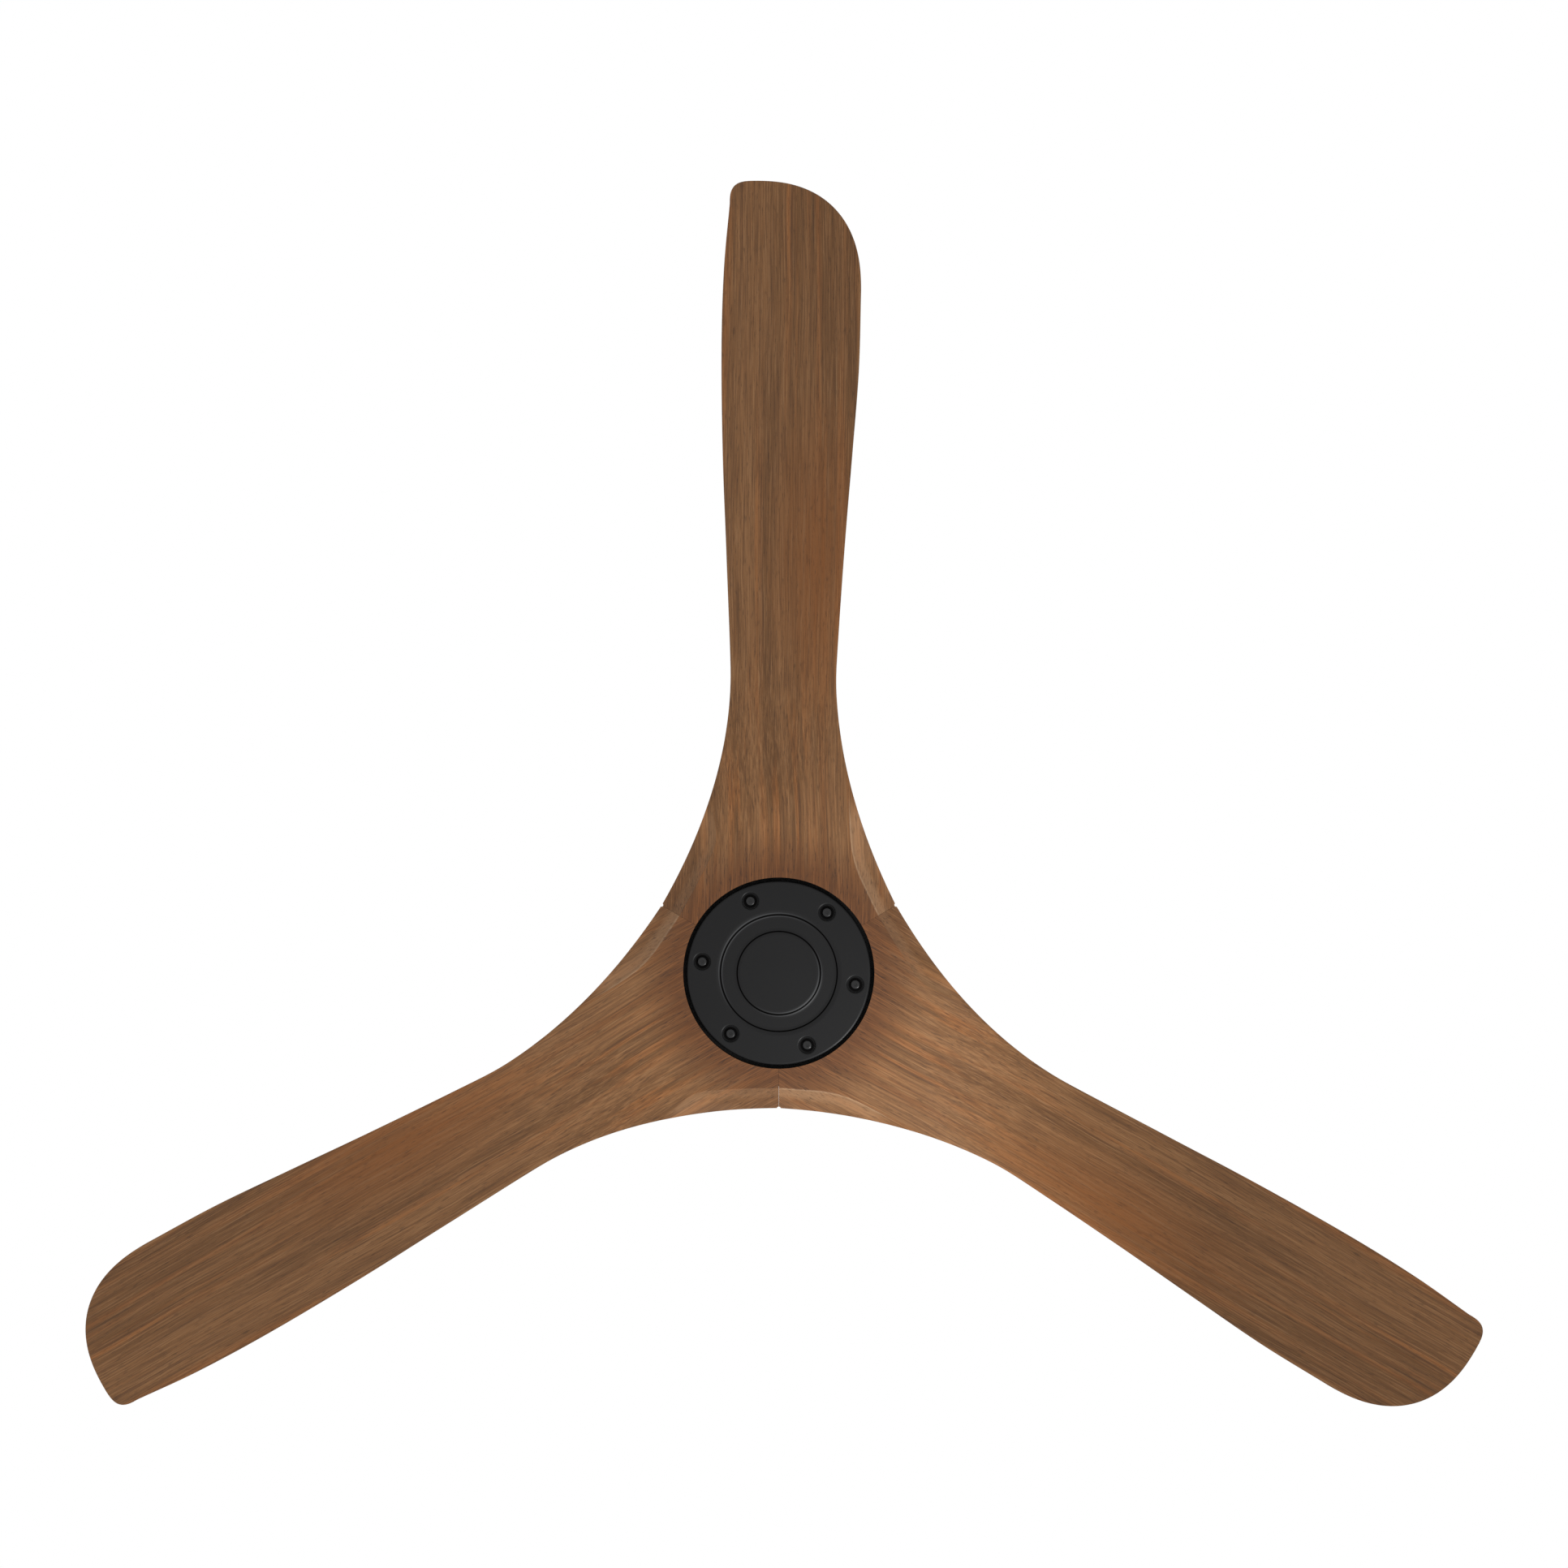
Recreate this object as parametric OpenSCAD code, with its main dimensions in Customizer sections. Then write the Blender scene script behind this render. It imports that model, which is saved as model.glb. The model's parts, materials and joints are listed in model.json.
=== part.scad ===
// Three-blade ceiling fan with carved wooden blades.
// +Z is up. The origin is the centre of the hanger bracket's top face, which lies against the ceiling.
// Blade 1 points along +Y. Seen from above the blades turn clockwise to push air down.

/* [Blades] */
// Radius swept by the blade tips
sweep_r = 762; // [600:1:950]
// Widest chord of a blade, near its tip
blade_chord = 134; // [110:1:160]
// Thickness of a blade at mid chord
blade_thickness = 11; // [8:0.5:16]
// Thickness of a blade at its edges
edge_thickness = 5; // [3:0.5:7]
// Pitch where the blade leaves the hub, in degrees
root_pitch = 13.5; // [8:0.5:18]
// Pitch at the tip, in degrees
tip_pitch = 10; // [5:0.5:15]

/* [Wooden hub] */
// Radius where the seams between the blade roots end
hub_r = 130; // [124:1:150]
// Height of the wooden blade roots
hub_height = 44; // [36:1:60]
// Width of the cove carved along the hub's outer edges
cove_width = 22; // [12:1:26]
// Rise of that cove above the hub's flat underside
cove_rise = 13; // [6:0.5:18]
// Gap between two blade roots at a seam
seam_gap = 0.3; // [0.2:0.1:1.5]
// Radius of the opening that the bottom plate sits in
rebate_r = 91.8; // [90:0.1:105]
// Depth of that opening
rebate_depth = 17; // [16:0.5:22]
// Radius of the bore through the wooden ledge, around the mounting pan
ledge_bore_r = 58; // [56:0.5:62]

/* [Bottom plate] */
// Running gap between the bottom plate and the wood
plate_gap = 3.2; // [2:0.1:6]
// Thickness of the bottom plate
plate_thickness = 5.5; // [5:0.1:6]
// How far the plate's face sits inside the wooden hub's underside
plate_recess = 1; // [0:0.1:2]
// Radius of the circle of plate screws
plate_screw_circle_r = 74.3; // [68:0.1:76]
// Outer radius of the sunk trim ring
trim_r = 56; // [52:0.1:60]
// Radius of the centre cap
cap_r = 40; // [30:0.1:44]
// How far the trim ring lies below the plate's face
trim_sink = 1.2; // [0.5:0.1:2]

/* [Motor] */
// Outer radius of the motor housing
housing_r = 110; // [106:1:122]
// Height of the motor housing beyond the stator's stack
housing_room = 42; // [42:1:66]
// Wall of the motor housing and the canopy
shell_wall = 1.6; // [1:0.1:3]
// Outer radius of the hollow motor shaft
shaft_r = 8.5; // [7:0.5:9]
// Bore radius of the hollow motor shaft
shaft_bore_r = 5.5; // [4:0.5:6]
// Thickness of the stator's stack of laminations
stack_height = 20; // [12:1:24]

/* [Hanging parts] */
// Length of the downrod
rod_length = 152; // [110:1:900]
// Outer radius of the downrod
rod_r = 13.35; // [12:0.05:15]
// Wall of the downrod
rod_wall = 2.8; // [2:0.1:3.5]
// Radius of the hanger ball
ball_r = 23; // [21:0.5:25]
// Length of downrod held in the yoke
rod_socket = 24; // [20:1:30]

/* [Ceiling parts] */
// Outer radius of the canopy at the ceiling
canopy_r = 68; // [64:1:85]
// Height of the canopy
canopy_height = 74; // [72:1:90]
// Depth from the ceiling to the centre of the hanger ball
ball_depth = 48; // [47:0.5:50]
// Distance between the two ceiling screws
ceiling_screw_spacing = 70; // [60:0.5:75]

/* [Hidden] */
$fn = 96;

// Clearances and small shared sizes
slip = 0.1;             // radial clearance of a running fit
hand_fit = 0.5;         // radial clearance of a loose sleeve
blade_count = 3;
seam_angle = 180 / blade_count;
wood_color = [0.46, 0.33, 0.23];
black_color = [0.16, 0.16, 0.17];
steel_color = [0.62, 0.63, 0.65];

// Heights, from the ceiling down
ball_z = -ball_depth;
rod_top_z = ball_z + 14;
rod_bottom_z = rod_top_z - rod_length;
yoke_flange_t = 6;
yoke_seat_t = 10;                       // metal under the downrod's end
housing_top_z = rod_bottom_z - yoke_seat_t;
yoke_top_z = rod_bottom_z + rod_socket;
wood_gap = 4;                           // from the wooden hub up to the housing's skirt
housing_height = stack_height + housing_room;
wood_top_z = housing_top_z - housing_height - wood_gap;
pad_z = wood_top_z - hub_height;        // the hub's flat underside
echo(total_height = -pad_z, wood_top_z = wood_top_z, housing_top_z = housing_top_z);

// ---------------------------------------------------------------- helpers

function mix(a, b, t) = a + (b - a) * t;
function clamp01(t) = min(1, max(0, t));
function ease(t) = let (c = clamp01(t)) c * c * (3 - 2 * c);
function ramp(s, from, to) = ease((s - from) / (to - from));

// Smooth curve through [x, y] points: a cubic in each stretch, with slopes from the neighbouring points
function slope_at(p, i) =
    let (a = max(0, i - 1), b = min(len(p) - 1, i + 1)) (p[b][1] - p[a][1]) / (p[b][0] - p[a][0]);
function stretch(p, x, i = 0) = (i >= len(p) - 2 || x < p[i + 1][0]) ? i : stretch(p, x, i + 1);
function curve(p, x) =
    x <= p[0][0] ? p[0][1] :
    x >= p[len(p) - 1][0] ? p[len(p) - 1][1] :
    let (
        i = stretch(p, x),
        h = p[i + 1][0] - p[i][0],
        t = (x - p[i][0]) / h,
        m0 = slope_at(p, i) * h,
        m1 = slope_at(p, i + 1) * h
    )
    (2 * t * t * t - 3 * t * t + 1) * p[i][1] + (t * t * t - 2 * t * t + t) * m0
        + (3 * t * t - 2 * t * t * t) * p[i + 1][1] + (t * t * t - t * t) * m1;

// Points of a quarter or other arc, for profiles
function arc(cx, cy, r, from, to, steps = 6) =
    [for (i = [0:steps]) let (a = mix(from, to, i / steps)) [cx + r * cos(a), cy + r * sin(a)]];

module ring(outer, inner, h) {
    difference() {
        cylinder(r = outer, h = h);
        translate([0, 0, -1]) cylinder(r = inner, h = h + 2);
    }
}

module around(count, radius = 0, start = 0) {
    for (i = [0:count - 1])
        rotate(start + i * 360 / count) translate([radius, 0, 0]) children();
}

// A round-headed socket screw: the head's underside is at z = 0, the shank goes up
module socket_screw(shank_r, length, head_r, head_h, socket_r) {
    difference() {
        union() {
            rotate_extrude() polygon(concat(
                [[0, 0], [head_r, 0]],
                arc(head_r - head_h * 0.7, -head_h * 0.3, head_h * 0.7, 0, -90, 5),
                [[0, -head_h]]
            ));
            cylinder(r = shank_r, h = length);
        }
        translate([0, 0, -head_h - 1]) cylinder(r = socket_r, h = head_h * 0.6 + 1, $fn = 6);
    }
}

module hex_nut(flat_r, bore_r, h) {
    difference() {
        cylinder(r = flat_r / cos(30), h = h, $fn = 6);
        translate([0, 0, -1]) cylinder(r = bore_r, h = h + 2);
    }
}

// ---------------------------------------------------------------- blades
// A blade's own frame: s runs from the hub's centre to the tip (+Y), u runs across towards the
// trailing edge (-X), and heights are measured up from the hub's flat underside.

root_s = hub_r * cos(seam_angle);       // where the outline leaves the seam
root_u = hub_r * sin(seam_angle);
span = sweep_r - root_s;
flare_length = 232;                     // stretch over which the root narrows to the blade
peak_u = -0.184 * blade_chord;          // the tip's farthest point, on the leading side
tip_round = 106.6;                      // length of the trailing corner's big round
tip_corner = 21.6;                      // length of the leading corner's small round

// Half widths as shares of the chord, against the share of the span
lead_shape = [[0, 0.343], [0.29, 0.343], [0.48, 0.376], [0.62, 0.403], [0.77, 0.412], [0.88, 0.394],
    [0.97, 0.352]];
trail_shape = [[0, 0.407], [0.29, 0.407], [0.38, 0.431], [0.51, 0.479], [0.63, 0.531], [0.74, 0.575],
    [0.847, 0.59]];

function half_shape(shape, s) = blade_chord * curve(shape, (s - root_s) / span);
function flare(s) = s > root_s + flare_length ? 0 : pow(1 - (s - root_s) / flare_length, 2);
function flared(shape, s) = let (w = half_shape(shape, s)) w + (root_u - half_shape(shape, root_s)) * flare(s);
// Corner of a tip: a superellipse from the edge at the corner's start to the tip's farthest point
function corner(edge_u, s, length, power) =
    let (t = clamp01((s - (sweep_r - length)) / length))
    peak_u + (edge_u - peak_u) * pow(max(0, 1 - pow(t, power)), 1 / power);
function lead_u(s) = corner(-flared(lead_shape, min(s, sweep_r - tip_corner)), s, tip_corner, 3);
function trail_u(s) = corner(flared(trail_shape, min(s, sweep_r - tip_round)), s, tip_round, 2.4);

// Pitch, and the line across the blade where its twisted face meets the hub's flat underside
function pitch(s) = s < 330 ? mix(5, root_pitch, ramp(s, 95, 330)) : mix(root_pitch, tip_pitch, ramp(s, 330, sweep_r));
function crease_u(s) = curve([[90, -87], [110, -62], [160, 0], [210, 52], [260, 78], [320, 88], [340, 88]], s);
function twisted(s, u) = tan(pitch(s)) * (crease_u(s) - u);
function under_face(s, u) = s < 90 ? 0 : max(0, twisted(s, u));

// Coves along the two edges of the root, which fade into rounded edges
edge_round = 3;
function lead_cove_w(s) = mix(cove_width + 1, edge_round, ramp(s, 118, 172));
function lead_cove_h(s) = mix(cove_rise, 1, ramp(s, 95, 165));
function trail_cove_w(s) = mix(cove_width, edge_round, ramp(s, 92, 190));
function trail_cove_h(s) = mix(cove_rise, 1, ramp(s, 95, 185));
function cove(h, v) = h * (1 - pow(1 - v, 2.2));

// Thickness: the full block at the root, then the blade's own
function tip_share(s) = min(1, max(0.02, (sweep_r - s) / 60));
function blade_depth(s, t) =
    edge_thickness + (blade_thickness - edge_thickness) * sqrt(tip_share(s)) * (1 - pow(abs(t), 2.5));
function over_face(s, u, t) =
    mix(hub_height, max(0, twisted(s, u)) + blade_depth(s, t), ramp(s, rebate_r + 12, 285));
function over_edge_drop(s, t) = mix(4, 1, ramp(s, 110, 220)) * pow(abs(t), 24);

cove_steps = [1, 0.72, 0.45, 0.2, 0];
across = 7;
function section(s) =
    let (
        lo = lead_u(s), hi = trail_u(s), w = hi - lo,
        cl = min(lead_cove_w(s), w * 0.3), cr = min(trail_cove_w(s), w * 0.3),
        inner = w - cl - cr
    )
    concat(
        [for (v = cove_steps) let (u = lo + cl * (1 - v)) [u, under_face(s, u) + cove(lead_cove_h(s), v)]],
        [for (i = [1:across - 1]) let (u = lo + cl + inner * i / across) [u, under_face(s, u)]],
        [for (k = [len(cove_steps) - 1:-1:0])
            let (v = cove_steps[k], u = hi - cr * (1 - v))
            [u, under_face(s, u) + cove(trail_cove_h(s), v)]],
        [for (t = [1, 0.94, 0.75, 0.45, 0.15, -0.15, -0.45, -0.75, -0.94, -1])
            let (u = mix(lo, hi, (t + 1) / 2)) [u, over_face(s, u, t) - over_edge_drop(s, t)]]
    );

root_stations = [26, 42, 58, 74, 88, 98, 108, 118, 128, 138, 148, 160, 172, 186, 200, 216, 234, 256, 282];
blade_stations = [for (i = [0:8]) mix(310, sweep_r - tip_round, i / 8)];
tip_stations = [for (d = [86, 68, 53, 40, 30, 21.6, 15, 10, 6.4, 3.8, 2, 0.9, 0.2]) sweep_r - d];
stations = concat(root_stations, blade_stations, tip_stations);

module blade_blank() {
    rings = [for (s = stations) [for (p = section(s)) [-p[0], s, p[1]]]];
    n = len(rings[0]);
    last = len(rings) - 1;
    points = [for (r = rings) each r];
    sides = [for (i = [0:last - 1], j = [0:n - 1])
        let (a = i * n + j, b = i * n + (j + 1) % n, c = a + n, d = b + n)
        each [[a, b, d], [a, d, c]]];
    root_cap = [[for (j = [n - 1:-1:0]) j]];
    tip_cap = [[for (j = [0:n - 1]) last * n + j]];
    polyhedron(points = points, faces = concat(sides, root_cap, tip_cap), convexity = 6);
}

blade_screw_r = 3;
blade_screw_circle_r = 80;
blade_screw_angles = [-36, 0, 36];
module blade_screw_places() {
    for (a = blade_screw_angles) rotate(90 + a) translate([blade_screw_circle_r, 0, 0]) children();
}

notch = 2.6;                            // half diagonal of the V where a seam ends
module carved_blade() {
    difference() {
        blade_blank();
        for (side = [-1, 1])
            rotate(90 + side * seam_angle) {
                // the seam's plane, with everything beyond it taken off
                translate([-20, side > 0 ? -seam_gap / 2 : -300 + seam_gap / 2, -20]) cube([400, 300, 150]);
                translate([hub_r + 0.4, 0, -20]) cylinder(r = notch, h = 150, $fn = 4);
            }
        translate([0, 0, -1]) cylinder(r = rebate_r, h = rebate_depth + 1);
        translate([0, 0, -1]) cylinder(r = ledge_bore_r, h = hub_height + 2);
        blade_screw_places() cylinder(r = blade_screw_r + 0.3, h = hub_height + 2);
    }
}

module blade(i) {
    color(wood_color) translate([0, 0, pad_z]) rotate(i * 360 / blade_count) carved_blade();
}

washer_h = 1.2;
ledge_z = pad_z + rebate_depth;         // underside of the wooden ledge
module blade_washers() {
    color(steel_color)
        for (i = [0:blade_count - 1])
            rotate(i * 360 / blade_count) blade_screw_places()
                translate([0, 0, ledge_z - washer_h]) ring(6.5, blade_screw_r + 0.2, washer_h);
}

base_t = 8;
module blade_screws() {
    color(steel_color)
        for (i = [0:blade_count - 1])
            rotate(i * 360 / blade_count) blade_screw_places()
                translate([0, 0, ledge_z - washer_h])
                    socket_screw(blade_screw_r, wood_top_z + base_t - 1 - ledge_z + washer_h, 5.2, 3.2, 2);
}

// ---------------------------------------------------------------- motor, turning

bearing_out = 20;
bearing_h = 12;
ball_circle_r = 14.25;
ball_bead_r = 3;
race_gap = 0.15;
lower_bearing_z = wood_top_z - 4;
stack_z = lower_bearing_z + bearing_h + 9;
upper_bearing_z = stack_z + stack_height + 9;
boss_r = bearing_out + 6;
cover_in = 69;
cover_out = 73;
cover_flange_r = 84;
magnet_gap = 1;
stator_r = 62.5;
cover_top_z = upper_bearing_z + 3;      // underside of the rotor cover's disc
base_top_z = wood_top_z + base_t;
rotor_screw_circle_r = 79;
rotor_screw_r = 2;

module rotor_base() {
    color(steel_color) difference() {
        union() {
            translate([0, 0, wood_top_z]) cylinder(r = housing_r - shell_wall - 5, h = base_t);
            translate([0, 0, lower_bearing_z - 2]) cylinder(r = boss_r, h = bearing_h + 2);
        }
        translate([0, 0, lower_bearing_z]) cylinder(r = bearing_out, h = 40);
        translate([0, 0, lower_bearing_z - 10]) cylinder(r = bearing_out - 2.5, h = 40);
        for (i = [0:blade_count - 1])
            rotate(i * 360 / blade_count) blade_screw_places()
                translate([0, 0, wood_top_z - 1]) cylinder(r = blade_screw_r, h = base_t);
        around(6, rotor_screw_circle_r, 18)
            translate([0, 0, base_top_z - 6]) cylinder(r = rotor_screw_r, h = 7);
        // windows that let air through to the stator
        around(6, 45, 0) translate([0, 0, wood_top_z - 1]) cylinder(r = 9, h = base_t + 2);
    }
}

module rotor_cover() {
    wall_h = cover_top_z - base_top_z;
    color(steel_color) difference() {
        union() {
            translate([0, 0, base_top_z]) cylinder(r = cover_out, h = wall_h + 3.5);
            translate([0, 0, base_top_z]) cylinder(r = cover_flange_r, h = 3);
            translate([0, 0, upper_bearing_z]) cylinder(r = boss_r, h = bearing_h + 2);
        }
        translate([0, 0, base_top_z - 1]) cylinder(r = cover_in, h = wall_h + 1);
        translate([0, 0, upper_bearing_z - 20]) cylinder(r = bearing_out, h = 20 + bearing_h);
        translate([0, 0, upper_bearing_z]) cylinder(r = bearing_out - 2.5, h = 40);
        around(6, 46, 0) translate([0, 0, cover_top_z - 1]) cylinder(r = 10, h = 6);
        around(6, rotor_screw_circle_r, 18)
            translate([0, 0, base_top_z - 1]) cylinder(r = rotor_screw_r + 0.2, h = 6);
    }
}

module rotor_screws() {
    color(steel_color) around(6, rotor_screw_circle_r, 18)
        translate([0, 0, base_top_z + 3]) mirror([0, 0, 1]) socket_screw(rotor_screw_r, 8, 3.6, 2.4, 1.3);
}

magnet_count = 14;
module rotor_magnets() {
    magnet_h = stack_height + 6;
    color([0.35, 0.36, 0.4])
        for (i = [0:magnet_count - 1])
            rotate(i * 360 / magnet_count) translate([0, 0, stack_z - 3])
                rotate_extrude(angle = 22) translate([stator_r + magnet_gap, 0])
                    square([cover_in - stator_r - magnet_gap, magnet_h]);
}

// ---------------------------------------------------------------- bearings

module race_cut() {
    rotate_extrude() translate([ball_circle_r, bearing_h / 2]) circle(r = ball_bead_r + race_gap);
}
module bearing_inner(z) {
    color(steel_color) translate([0, 0, z]) difference() {
        ring(12.2, shaft_r, bearing_h);
        race_cut();
    }
}
module bearing_outer(z) {
    color(steel_color) translate([0, 0, z]) difference() {
        ring(bearing_out, 16.3, bearing_h);
        race_cut();
    }
}
bead_count = 8;
module bearing_balls(z) {
    color(steel_color) translate([0, 0, z + bearing_h / 2]) around(bead_count, ball_circle_r) sphere(r = ball_bead_r);
}
module bearing_cage(z) {
    color([0.75, 0.6, 0.35]) translate([0, 0, z + bearing_h / 2]) difference() {
        translate([0, 0, -3.8]) ring(15.4, 13.1, 7.6);
        around(bead_count) rotate([0, 90, 0]) cylinder(r = ball_bead_r + 0.1, h = 20);
    }
}

// ---------------------------------------------------------------- motor, standing still

pan_t = 2.5;
pan_rim_z = pad_z + plate_recess + plate_thickness;
pan_dish_z = pad_z + 19;                // underside of the dished middle
pan_r = 80;
pan_dish_r = 52;
shaft_bottom_z = pad_z + 9;
shaft_top_z = housing_top_z + 4;
plate_screw_r = 2.5;
plate_screw_start = 8.5;               // turn of the screw circle

module motor_shaft() {
    color(steel_color) translate([0, 0, shaft_bottom_z]) ring(shaft_r, shaft_bore_r, shaft_top_z - shaft_bottom_z);
}

module shaft_spacers() {
    spacer_r = 11.5;
    color(steel_color)
        for (stretch = [
            [pan_dish_z + pan_t, lower_bearing_z], [lower_bearing_z + bearing_h, stack_z],
            [stack_z + stack_height, upper_bearing_z],
            [upper_bearing_z + bearing_h, housing_top_z - shell_wall]
        ])
            translate([0, 0, stretch[0]]) ring(spacer_r, shaft_r, stretch[1] - stretch[0]);
}

tooth_count = 12;
tooth_w = 9;
module stator_core() {
    color([0.45, 0.46, 0.48]) translate([0, 0, stack_z]) linear_extrude(stack_height) difference() {
        union() {
            circle(r = 30);
            around(tooth_count) translate([28, -tooth_w / 2]) square([32, tooth_w]);
            difference() {
                circle(r = stator_r);
                circle(r = stator_r - 4);
                around(tooth_count, 0, 180 / tooth_count) translate([50, -2]) square([20, 4]);
            }
        }
        circle(r = shaft_r);
        around(6, 21) circle(r = 4);
    }
}

module rounded_outline(w, h, r) {
    square([w - 2 * r, h], center = true);
    square([w, h - 2 * r], center = true);
    for (x = [-1, 1], y = [-1, 1]) translate([x * (w / 2 - r), y * (h / 2 - r)]) circle(r = r);
}
module stator_windings() {
    wire = 3.6;
    color([0.72, 0.4, 0.2]) translate([0, 0, stack_z + stack_height / 2])
        around(tooth_count, 34.5) rotate([90, 0, 90]) linear_extrude(22) difference() {
            rounded_outline(tooth_w + 2 * wire, stack_height + 2 * wire, 3);
            square([tooth_w, stack_height], center = true);
        }
}

module mounting_pan() {
    bend = pan_t;
    color(steel_color) difference() {
        rotate_extrude() polygon([
            [shaft_r, pan_dish_z], [pan_dish_r - 4, pan_dish_z], [pan_dish_r, pan_rim_z],
            [pan_r, pan_rim_z], [pan_r, pan_rim_z + pan_t], [pan_dish_r + bend, pan_rim_z + pan_t],
            [pan_dish_r - 4 + bend, pan_dish_z + pan_t], [shaft_r, pan_dish_z + pan_t]
        ]);
        around(6, plate_screw_circle_r, plate_screw_start)
            translate([0, 0, pan_rim_z - 1]) cylinder(r = plate_screw_r, h = pan_t + 2);
    }
}
module shaft_washer() {
    color(steel_color) translate([0, 0, pan_dish_z - 1.6]) ring(15, shaft_r, 1.6);
}
module shaft_nut() {
    color(steel_color) translate([0, 0, pan_dish_z - 1.6 - 7]) hex_nut(13, shaft_r, 7);
}

// ---------------------------------------------------------------- bottom plate

plate_r = rebate_r - plate_gap;
face_z = pad_z + plate_recess;
line_gap = 0.9;                         // gap between the plate, the trim ring and the cap
seat_h = 3.2;                           // height above the face at which ring and cap sit on their ledges
ledge = 3.5;
ledge_t = 1.6;
rim_round = 2.4;
pocket_r = 7.8;
pocket_depth = 4.2;
pocket_round = 1.6;

// One shallow channel is pressed across the cap, the ring and the plate, with soft slopes on both sides
function channel(r) =
    trim_sink * ramp(r, cap_r - 3.5, cap_r + 3.5) * (1 - ramp(r, trim_r - 3.5, trim_r + 5));
function face_points(from, to, steps) = [for (i = [0:steps]) let (r = mix(from, to, i / steps)) [r, channel(r)]];

module bottom_plate() {
    color(black_color) difference() {
        translate([0, 0, face_z]) rotate_extrude() polygon(concat(
            face_points(trim_r + line_gap / 2, trim_r + 5, 6),
            arc(plate_r - rim_round, rim_round, rim_round, -90, 0, 7),
            [[plate_r, plate_thickness], [trim_r - ledge, plate_thickness], [trim_r - ledge, seat_h],
                [trim_r + line_gap / 2, seat_h]]
        ));
        around(6, plate_screw_circle_r, plate_screw_start) {
            translate([0, 0, face_z - 1]) cylinder(r = pocket_r, h = pocket_depth + 1);
            translate([0, 0, face_z - 1]) cylinder(r = plate_screw_r + 0.3, h = plate_thickness + 2);
            // rounded mouth of the pocket
            translate([0, 0, face_z]) rotate_extrude() polygon(concat(
                [[0, -1], [pocket_r + pocket_round, -1]],
                arc(pocket_r + pocket_round, pocket_round, pocket_round, 270, 180, 5),
                [[0, pocket_round]]
            ));
        }
    }
}

module trim_ring() {
    inner = cap_r + line_gap / 2;
    outer = trim_r - line_gap / 2;
    color(black_color) translate([0, 0, face_z]) rotate_extrude() polygon(concat(
        face_points(inner, cap_r + ledge, 4),
        face_points(trim_r - ledge, outer, 4),
        [[outer, seat_h], [trim_r - ledge - 0.3, seat_h], [trim_r - ledge - 0.3, seat_h + ledge_t],
            [cap_r - ledge, seat_h + ledge_t], [cap_r - ledge, seat_h], [inner, seat_h]]
    ));
}
module centre_cap() {
    color(black_color) translate([0, 0, face_z]) rotate_extrude() polygon(concat(
        [[0, 0]], face_points(cap_r - ledge, cap_r - line_gap / 2, 4), [[cap_r - line_gap / 2, seat_h], [0, seat_h]]
    ));
}
module plate_screws() {
    color([0.1, 0.1, 0.11]) around(6, plate_screw_circle_r, plate_screw_start)
        translate([0, 0, face_z + pocket_depth]) socket_screw(plate_screw_r, plate_thickness - pocket_depth + pan_t,
            4.75, 2.6, 1.7);
}

// ---------------------------------------------------------------- housing and yoke

yoke_wall = 6.65;                       // metal round the downrod's socket
yoke_r = rod_r + yoke_wall;
yoke_flange_r = 36;
housing_screw_circle_r = 31;
housing_screw_r = 2.5;
housing_nut_h = 4;
module motor_housing() {
    h = housing_height;
    w = shell_wall;
    top_r = 44;
    color(black_color) difference() {
        translate([0, 0, housing_top_z - h]) rotate_extrude() polygon(concat(
            [[housing_r - w, 0], [housing_r, 0]],
            arc(housing_r - 16, h - 24, 16, 0, 62, 8),
            [[top_r + 6, h - 1.5]], [[top_r, h]],
            [[shaft_r + slip, h], [shaft_r + slip, h - w], [top_r - 1, h - w]],
            arc(housing_r - 16, h - 24, 16 - w, 62, 0, 8)
        ));
        around(4, housing_screw_circle_r, 45)
            translate([0, 0, housing_top_z - 5]) cylinder(r = housing_screw_r + 0.2, h = 10);
    }
}

pin_r = 3;
pin_flat = 0.3;                         // how far the pin's head stands proud of the yoke's round
pin_z = rod_bottom_z + rod_socket / 2;  // the clevis pin and the two grub screws sit at one height
module yoke() {
    color(steel_color) difference() {
        union() {
            translate([0, 0, housing_top_z]) cylinder(r = yoke_flange_r, h = yoke_flange_t);
            translate([0, 0, housing_top_z]) cylinder(r = yoke_r, h = yoke_top_z - housing_top_z);
        }
        translate([0, 0, rod_bottom_z]) cylinder(r = rod_r + slip, h = 100);
        translate([0, 0, housing_top_z - 1]) cylinder(r = shaft_r, h = shaft_top_z - housing_top_z + 1);
        translate([0, 0, housing_top_z - 1]) cylinder(r = shaft_bore_r, h = 40);
        around(4, housing_screw_circle_r, 45)
            translate([0, 0, housing_top_z - 1]) cylinder(r = housing_screw_r + 0.2, h = 10);
        translate([0, 0, pin_z]) rotate([0, 90, 0]) cylinder(r = pin_r + slip, h = 60, center = true);
        translate([0, 0, pin_z]) rotate([90, 0, 0]) cylinder(r = 2.5, h = 60, center = true);
        // flat that the clevis pin's head lies against
        translate([-yoke_r - 9, 0, pin_z]) rotate([0, 90, 0]) cylinder(r = 6, h = 10 - pin_flat);
    }
}
module housing_screws() {
    color(steel_color) around(4, housing_screw_circle_r, 45)
        translate([0, 0, housing_top_z + yoke_flange_t]) mirror([0, 0, 1])
            socket_screw(housing_screw_r, yoke_flange_t + shell_wall + housing_nut_h + 0.4, 4.75, 2.8, 1.7);
}
module housing_nuts() {
    color(steel_color) around(4, housing_screw_circle_r, 45)
        translate([0, 0, housing_top_z - shell_wall - housing_nut_h]) hex_nut(4, housing_screw_r, housing_nut_h);
}

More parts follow.
